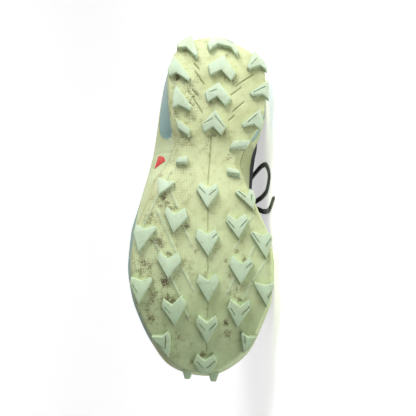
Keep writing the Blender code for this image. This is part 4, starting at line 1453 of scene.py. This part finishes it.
class SHOE_OT_midsole(bpy.types.Operator):
    """Model the midsole and the inset in its side"""

    bl_idname = "shoe.midsole"
    bl_label = "Midsole"

    def execute(self, context):
        loops = Loops(SOLE_STATIONS)
        heel = loops.s <= WEDGE_END
        floor_z = np.where(heel, loops.wedge_z, loops.base_z + SHEET)
        ledge_z = np.where(heel, loops.wedge_z + GAP, loops.wrap_z)
        inset = np.where(loops.s < WEDGE_END, 0.0, SHEET) + 2 * GAP
        rings = [
            loops.wall(floor_z, inset, 2 * GAP),
            loops.wall(ledge_z, inset, 3 * GAP),
            loops.wall(ledge_z, LEDGE, GAP),
        ]
        # Soil of each ring, from the floor and the ledge up the wall to the lip
        soil = [0.3, 0.3, 0.9]
        for share in np.linspace(0.0, 1.0, MIDSOLE_RINGS):
            z = ledge_z + LEDGE + (loops.rim_z - EDGE_ROUND - ledge_z - LEDGE) * share
            up = (z - loops.base_z) / (loops.rim_z - loops.base_z)
            cut_in = midsole_relief(loops.rim[:, 0], up, loops.lateral)
            rings.append(loops.wall(z, cut_in))
            soil.append(0.9 * cut_in + 0.5 * max(0.0, 1 - share * 5))
        for t in np.radians((30.0, 60.0, 90.0)):
            z = loops.rim_z - EDGE_ROUND * (1 - math.sin(t))
            rings.append(loops.wall(z, EDGE_ROUND * (1 - math.cos(t))))
            soil.append(0.1)
        rings += [loops.foot(loops.rim_z, -LIP_DRAFT), loops.foot(loops.rim_z - LIP, -GAP)]
        soil += [0.5, 0.5, 0.5]
        bm, places, station, ring = layer(loops, BLOCK_ACROSS, rings)
        soil = np.array([row * np.ones(2 * SOLE_STATIONS) for row in soil])
        x, lateral = places[:, 0], places[:, 1] > 0
        place = np.where(lateral, station, -station)
        mark(bm, "soil", soil[ring, place])
        up = (places[:, 2] - loops.base_z[place]) / (loops.rim_z - loops.base_z)[place]
        ends = 2 - rise_between(x, *TRIM_START) - fall_between(x, *TRIM_END)
        above = up - TRIM_LOW - TRIM_RISE * ends
        mark(bm, "trim", lateral * rise_between(above, -TRIM_BLUR, TRIM_BLUR))
        # Painted shade, and deeper pebbles, on the medial wall of the arch
        mark(bm, "shade_and_pebbles", arch_shade_and_pebbles(places))
        settle(bm, places)
        frame_of = side_frame(INSET_X, INSET_UP)
        pocket = inset_block(1.0, -INSET_DEPTH, INSET_DEPTH)
        pocket.transform(frame_of)
        bm = cut(bm, pocket)
        add_piece("midsole_foam", bm, foam_finish(), "midsole_foam", "midsole")
        self.inset(frame_of)
        return {"FINISHED"}

    def inset(self, frame_of):
        """Set the plain red inset in its pocket."""
        bm = inset_block(INSET_SHRINK, GAP - INSET_DEPTH, INSET_PROUD)
        top = max(vert.co.z for vert in bm.verts)
        brim = [item for item in bm.edges if all(vert.co.z > top - 0.01 for vert in item.verts)]
        soften(bm, brim, INSET_BRIM, 4)
        bm.transform(frame_of)
        rubber = Finish("inset_rubber", roughness=0.45)
        place = rubber.place()
        clouds = rubber.noise(place, 5.0, 4.0)
        grain = rubber.noise(place, 0.8, 2.0)
        tint = rubber.mix(colour("inset"), colour("inset_worn"), rubber.step(clouds, 0.45, 0.7))
        rubber.wear(base_color=tint, roughness=0.4 + grain * 0.2, normal=rubber.bump(grain, 0.08))
        add_piece("arch_inset_red", bm, rubber.material, "inset_rubber", "arch_inset")


class Upper:
    """Outer face of the upper: a curved rib at each station of its outline."""

    def __init__(self, stations):
        self.loops = loops = Loops(stations)
        column = {name: read(UPPER, name, loops.s) for name in UPPER_COLUMNS[1:]}
        flare = np.column_stack((outward(loops.foot_line), np.zeros(2 * stations)))
        start = loops.foot(loops.rim_z - LIP + GAP)
        top = np.column_stack((column["top_x"], loops.sign * column["top_y"], column["top_z"]))
        reach = np.column_stack((column["reach_x"], loops.sign * column["reach_y"], -column["drop"]))
        low = start + flare * column["flare"][:, None] + column["rise"][:, None] * np.array((0, 0, 1))
        self.controls = np.array((start, low, top + reach, top))
        self.x = loops.rim[:, 0]

    def rows(self, shares):
        """Return the face's rows of points at shares of the ribs."""
        weights = [
            ((1 - v) ** 3, 3 * v * (1 - v) ** 2, 3 * v**2 * (1 - v), v**3) for v in shares
        ]
        return np.einsum("rk,knc->rnc", np.array(weights), self.controls)

    def point(self, x, side, up):
        """Return a point on the face by its rib, side and share of the rib."""
        place = float(station_of(x)) * self.loops.stations
        cell = int(place)
        row = self.rows([up])[0]
        return Vector(row[side * cell] * (cell + 1 - place) + row[side * (cell + 1)] * (place - cell))

    def normal(self, x, side, up):
        """Return the face's outward normal at a point."""
        ahead = self.point(x + RIB_STEP, side, up) - self.point(x - RIB_STEP, side, up)
        rise = self.point(x, side, min(up + RISE_STEP, 1.0)) - self.point(x, side, up - RISE_STEP)
        return (rise.cross(ahead) * side).normalized()


def upper_relief(x, up):
    """Return how far bands and padding stand proud, where the bands are, and the inner padding."""
    toe_cap = rise_between(x - CAP_SLANT * up, *CAP_X) * fall_between(up, *CAP_UP)
    rand = fall_between(up, *RAND_UP)
    counter = fall_between(x + COUNTER_SLANT * (1 - up), *COUNTER_X) * fall_between(up, *COUNTER_UP)
    stay = rise_between(up, *STAY_UP) * rise_between(x, *STAY_START) * fall_between(x, *STAY_END)
    bands = np.maximum.reduce((toe_cap, rand, counter, stay))
    heel = fall_between(x, *COLLAR_X)
    at, half_width = COLLAR_ROLL_UP
    proud = size("band") * bands + COLLAR_ROLL * heel * crest(up - at, half_width)
    for crease in CREASES:
        row = dict(zip(CREASE_COLUMNS, crease))
        line = (row["x"], row["up"] * RIB_LENGTH, row["to_x"], row["to_up"] * RIB_LENGTH)
        proud -= size("crease") * crest(distance_to(x, up * RIB_LENGTH, line), row["half_width"])
    at, half_width = COLLAR_PAD_UP
    padding = size("collar") * heel * np.sqrt(crest(up - at, half_width))
    return proud, bands, padding


def fabric_finish(name):
    """Engineered mesh with smooth bands over it, dusted near the sole."""
    cloth = Finish(name, sheen_weight=0.08, sheen_roughness=0.6)
    cloth.plug(0.15, cloth.shader.inputs["Specular IOR Level"])
    place = cloth.place()
    cells = cloth.node(
        "TexVoronoi", {"feature": "F1"}, {"Vector": place, "Scale": 0.62, "Randomness": 0.35},
    )
    threads = cloth.noise(place, 0.55, 2.0)
    clouds = cloth.noise(place, 18.0, 4.0)
    bands = cloth.amount("bands")
    height = cloth.part(place, 2)
    dust = cloth.step(clouds - height * 0.006, 0.1, 0.45)
    mesh = cloth.mix(colour("mesh"), colour("mesh_light"), cloth.step(cells, 0.25, 0.75))
    film = cloth.mix(colour("overlay"), colour("mesh_light"), cloth.step(clouds, 0.5, 0.8) * 0.6)
    tint = cloth.mix(cloth.mix(mesh, film, bands), colour("dust"), dust * 0.1)
    cloth.wear(base_color=tint, roughness=0.85 - bands * 0.3 + threads * 0.1)
    weave = (1.0 - cells) * (1.0 - bands) + threads * (0.5 - bands * 0.35)
    cloth.wear(normal=cloth.bump(weave, 0.45))
    return cloth.material


def stitch_row(bm, points, normals):
    """Sew a row of stitches along points of a face."""
    for first, second, normal in zip(points[:-1], points[1:], normals):
        run = second - first
        across = normal.cross(run).normalized()
        turn = Matrix((run.normalized(), across, normal)).transposed().to_4x4()
        share, width, height = STITCH_SIZE
        extent = Matrix.Diagonal((run.length * share, width, height, 1.0))
        place = Matrix.Translation((first + second) / 2 + normal * STITCH_LIFT)
        bmesh.ops.create_uvsphere(
            bm, u_segments=8, v_segments=5, radius=0.5, matrix=place @ turn @ extent,
        )


class SHOE_OT_upper(bpy.types.Operator):
    """Model the hollow upper with its bands, creases, eyelets and stitches"""

    bl_idname = "shoe.upper"
    bl_label = "Upper"

    def execute(self, context):
        shape = Upper(UPPER_STATIONS)
        shares = np.linspace(0, 1, UPPER_STEPS + 1)
        face = shape.rows(shares)
        ahead = np.roll(face, -1, axis=1) - np.roll(face, 1, axis=1)
        normal = -unit(np.cross(ahead, np.gradient(face, axis=0)))
        x, up = np.broadcast_arrays(shape.x[None], shares[:, None])
        proud, bands, padding = upper_relief(x, up)
        outer = face + normal * proud[..., None]
        inner = face - normal * (WALL + padding)[..., None]
        rim = (outer[-1] + inner[-1]) / 2 + (face[-1] - face[-2]) * 0.5
        rings = np.concatenate((outer, rim[None], inner[::-1]))
        bm, ring, column = tube(rings)
        mark(bm, "bands", np.concatenate((bands, np.zeros_like(bands[:1]), 0.0 * bands))[ring, column])
        bmesh.ops.bridge_loops(bm, edges=rims(bm))
        bmesh.ops.recalc_face_normals(bm, faces=bm.faces)
        bm = cut(bm, self.holes(shape))
        finish = fabric_finish("upper_mesh")
        add_piece("upper_shell", bm, finish, "upper_textile", "upper", sharp=60.0)
        self.stitches(shape)
        return {"FINISHED"}

    def holes(self, shape):
        """Return the cutters of the eyelets."""
        bm = bmesh.new()
        for x in EYELET_RIBS:
            for side in (1, -1):
                turn = shape.normal(x, side, EYELET_UP).to_track_quat("Z", "Y").to_matrix().to_4x4()
                bmesh.ops.create_cone(
                    bm, cap_ends=True, segments=20, radius1=EYELET_DIAMETER / 2, depth=4 * WALL,
                    radius2=EYELET_DIAMETER / 2,
                    matrix=Matrix.Translation(shape.point(x, side, EYELET_UP)) @ turn,
                )
        return bm

    def stitches(self, shape):
        """Sew along the eyestays and under the collar."""
        bm = bmesh.new()
        for side in (1, -1):
            for (start, end, up), lift in ((STAY_STITCHES, size("band")), (COLLAR_STITCHES, 0.0)):
                xs = np.linspace(start, end, round((end - start) / STITCH_PITCH))
                normals = [shape.normal(x, side, up) for x in xs]
                points = [shape.point(x, side, up) + out * lift for x, out in zip(xs, normals)]
                stitch_row(bm, points, normals)
        thread = Finish("sewing_thread", roughness=0.6)
        twist = thread.noise(thread.place(), 0.4, 2.0)
        thread.wear(base_color=thread.mix(colour("mesh_light"), colour("lace_light"), twist))
        thread.wear(normal=thread.bump(twist, 0.15))
        add_piece("upper_stitches", bm, thread.material, "upper_textile")


class SHOE_OT_tongue(bpy.types.Operator):
    """Model the padded tongue"""

    bl_idname = "shoe.tongue"
    bl_label = "Tongue"

    def execute(self, context):
        knots = np.linspace(0, 1, len(TONGUE_ROWS))
        steps = np.linspace(0, 1, TONGUE_STEPS + 1)
        row = {name: smooth(steps, knots, values)[:, None] for name, values in TONGUE.items()}
        angles = turns(TONGUE_SIDES)
        across = np.cos(angles)[None]
        side = plump(angles, 0.4)[None]
        top = row["z"] - row["drop"] * np.abs(across) ** TONGUE_POWER
        half = row["thickness"] * (1 - 0.5 * across**2) / 2
        run = steps[:, None] * TONGUE_LENGTH
        ridge = (run + CHANNEL_PITCH / 2) % CHANNEL_PITCH - CHANNEL_PITCH / 2
        channel = crest(ridge, CHANNEL_HALF_WIDTH) * crest(across, 0.8) * (steps[:, None] > 0.3)
        channel = np.maximum(channel, crest(np.abs(across) - 0.84, 0.07))
        thin = np.clip(np.minimum(run, TONGUE_LENGTH - run) / TONGUE_EDGE, 0.25, 1) ** 0.5
        z = top - half + half * thin * side - CHANNEL_DEPTH * channel * (side > 0.5)
        y = row["half_width"] * across
        rings = np.stack(np.broadcast_arrays(row["x"], y, z), axis=2)
        bm, _, _ = tube(rings)
        close(bm)
        mark(bm, "bands", np.zeros(len(bm.verts)))
        tongue = add_piece("tongue_pad", bm, fabric_finish("tongue_mesh"), "upper_textile", "tongue")
        return {"FINISHED"}


class SHOE_OT_insole(bpy.types.Operator):
    """Model the footbed"""

    bl_idname = "shoe.insole"
    bl_label = "Insole"

    def execute(self, context):
        loops = Loops(UPPER_STATIONS)
        low = loops.rim_z - LIP + GAP
        inset = WALL + 2 * GAP
        chamfer = INSOLE_CHAMFER * EDGE_ROUND
        rings = [
            loops.foot(low + INSOLE_THICKNESS, inset + EDGE_ROUND),
            loops.foot(low + INSOLE_THICKNESS - chamfer, inset + chamfer),
            loops.foot(low + INSOLE_THICKNESS - EDGE_ROUND, inset),
            loops.foot(low, inset),
        ]
        bm, places, _, ring = layer(loops, INSOLE_ACROSS, rings)
        far = (places[:, :2] - DIP_AT) / DIP_RADII
        dip = DIP_DEPTH * np.exp(-np.sum(far**2, axis=1))
        places[:, 2] -= np.where(ring == 0, dip, 0.0)
        settle(bm, places)
        cloth = Finish("footbed_cloth")
        place = cloth.place()
        weave = cloth.node(
            "TexVoronoi", {"feature": "F1"}, {"Vector": place, "Scale": 0.8, "Randomness": 0.2},
        )
        clouds = cloth.noise(place, 22.0, 4.0)
        worn = cloth.step(clouds, 0.4, 0.7)
        cloth.wear(base_color=cloth.mix(colour("footbed"), colour("mesh_light"), worn))
        cloth.wear(roughness=0.8 + clouds * 0.15, normal=cloth.bump(1.0 - weave, 0.25))
        add_piece("footbed", bm, cloth.material, "insole_foam", "insole")
        return {"FINISHED"}


class SHOE_OT_lacing(bpy.types.Operator):
    """Run the lace through the eyelets and tie its knot"""

    bl_idname = "shoe.lacing"
    bl_label = "Lacing"

    def execute(self, context):
        self.shape = Upper(UPPER_STATIONS)
        finish = lace_finish("lacing_yarn")
        strands = [self.strand(EYELET_RIBS[-1], EYELET_RIBS[-1], 1)]
        for low, high in zip(EYELET_RIBS[1:], EYELET_RIBS):
            strands += [self.strand(low, high, side) for side in (1, -1)]
        strands += [self.tail(side) for side in (1, -1)]
        add_piece("laced_strands", gather(strands), finish, "lace_textile", "lace_crossings")
        add_piece("bow_knot", self.knot(), finish, "lace_textile", "lace_knot")
        return {"FINISHED"}

    def eyelet(self, x, side):
        """Return points and broad directions of a lace that comes out of an eyelet."""
        place = self.shape.point(x, side, EYELET_UP)
        out = self.shape.normal(x, side, EYELET_UP)
        inward = self.shape.point(x, side, 1.0) - self.shape.point(x, side, 0.85)
        inward = (inward - out * inward.dot(out)).normalized()
        ups = (-inward, -inward, (out - inward).normalized())
        return [
            (place + out * lift + inward * shift, up, width)
            for (lift, shift, width), up in zip(EYELET_PATH, ups)
        ]

    def strand(self, first, second, side):
        """Lay one strand across the throat between two eyelets."""
        over = []
        for start, end, hand in ((first, second, side), (second, first, -side)):
            x = start + (end - start) * LACE_TURN
            normal = self.shape.normal(x, hand, LACE_EDGE_UP)
            place = self.shape.point(x, hand, LACE_EDGE_UP) + normal * LACE_LIFT
            over.append((place, normal, size("lace_width")))
        crown = (over[0][0] + over[1][0]) / 2 + THROAT_UP * (LACE_CROWN + LACE_OVERLAP * side)
        over.insert(1, (crown, THROAT_UP, size("lace_width")))
        return self.sweep(self.eyelet(first, side) + over + self.eyelet(second, -side)[::-1])

    def tail(self, side):
        """Lay the strand from a top eyelet to the knot."""
        reach = KNOT_AT + Vector((0.0, side * KNOT_SIZE[0] * KNOT_REACH, 0.0))
        start = self.eyelet(EYELET_RIBS[0], side)
        middle = (start[-1][0] + reach) / 2 + THROAT_UP * TAIL_CROWN
        return self.sweep(start + [(middle, THROAT_UP, size("lace_width")), (reach, THROAT_UP, TAIL_WIDTH)])

    def sweep(self, stops):
        """Sweep a band through stops of place, broad direction and width."""
        rows = spread([(*place, *up, width) for place, up, width in stops], 1.0)
        return band(rows[:, :3], rows[:, 3:6], rows[:, 6])

    def knot(self):
        """Model the knot: crossed bights bound by one turn of the lace."""
        turn = THROAT_UP.to_track_quat("Z", "Y").to_matrix().to_4x4()
        place = Matrix.Translation(KNOT_AT) @ turn
        across, ahead, rise = (extent / 2 for extent in KNOT_SIZE)
        parts = []
        angles = turns(BIGHT_STEPS)
        wide, deep, high = BIGHT_SIZE
        ups = np.column_stack((0 * angles, 0 * angles, 1 + 0 * angles))
        for tilt, lift in ((0.5, -0.2), (-0.5, 0.2)):
            points = np.column_stack((
                across * wide * np.cos(angles), ahead * deep * np.sin(angles) + tilt * np.cos(angles),
                rise * high * np.sin(2 * angles + tilt) + lift,
            ))
            parts.append(band(points, ups, np.full(len(points), BIGHT_WIDTH)))
        angles = np.linspace(-0.3, math.tau - 0.1, 30)
        wrap = np.column_stack((
            1.2 * np.sin(angles * 0.5), ahead * 0.66 * np.cos(angles), (rise - 1.0) * np.sin(angles),
        ))
        ups = np.column_stack((0 * angles, np.cos(angles), np.sin(angles)))
        parts.append(band(wrap, ups, np.full(len(wrap), WRAP_WIDTH)))
        bm = gather(parts)
        bm.transform(place)
        return bm


OPERATORS = (
    SHOE_OT_stage, SHOE_OT_bow, SHOE_OT_outsole, SHOE_OT_heel_wedge, SHOE_OT_midsole,
    SHOE_OT_upper, SHOE_OT_tongue, SHOE_OT_insole, SHOE_OT_lacing,
)


class SHOE_PT_panel(bpy.types.Panel):
    """Steps that dress the shoe, with its sizes, colours and light"""

    bl_idname = "SHOE_PT_panel"
    bl_label = "Trail running shoe"
    bl_space_type = "VIEW_3D"
    bl_region_type = "UI"
    bl_category = "Shoe"

    def draw(self, context):
        for step in OPERATORS:
            self.layout.operator(step.bl_idname)
        scene = context.scene
        for group in (scene.shoe_sizes, scene.shoe_colours, scene.shoe_light):
            for name in group.__annotations__:
                self.layout.prop(group, name)


CLASSES = (ShoeSizes, ShoeColours, ShoeLight, *OPERATORS, SHOE_PT_panel)


def register():
    """Register the classes and the scene's settings."""
    for kind in CLASSES:
        bpy.utils.register_class(kind)
    bpy.types.Scene.shoe_sizes = PointerProperty(type=ShoeSizes)
    bpy.types.Scene.shoe_colours = PointerProperty(type=ShoeColours)
    bpy.types.Scene.shoe_light = PointerProperty(type=ShoeLight)


def unregister():
    """Remove the scene's settings and the classes."""
    del bpy.types.Scene.shoe_light
    del bpy.types.Scene.shoe_colours
    del bpy.types.Scene.shoe_sizes
    for kind in reversed(CLASSES):
        bpy.utils.unregister_class(kind)


def main():
    """Dress the frame piece by piece."""
    register()
    for step in OPERATORS:
        group, name = step.bl_idname.split(".")
        getattr(getattr(bpy.ops, group), name)()


if __name__ == "__main__":
    main()
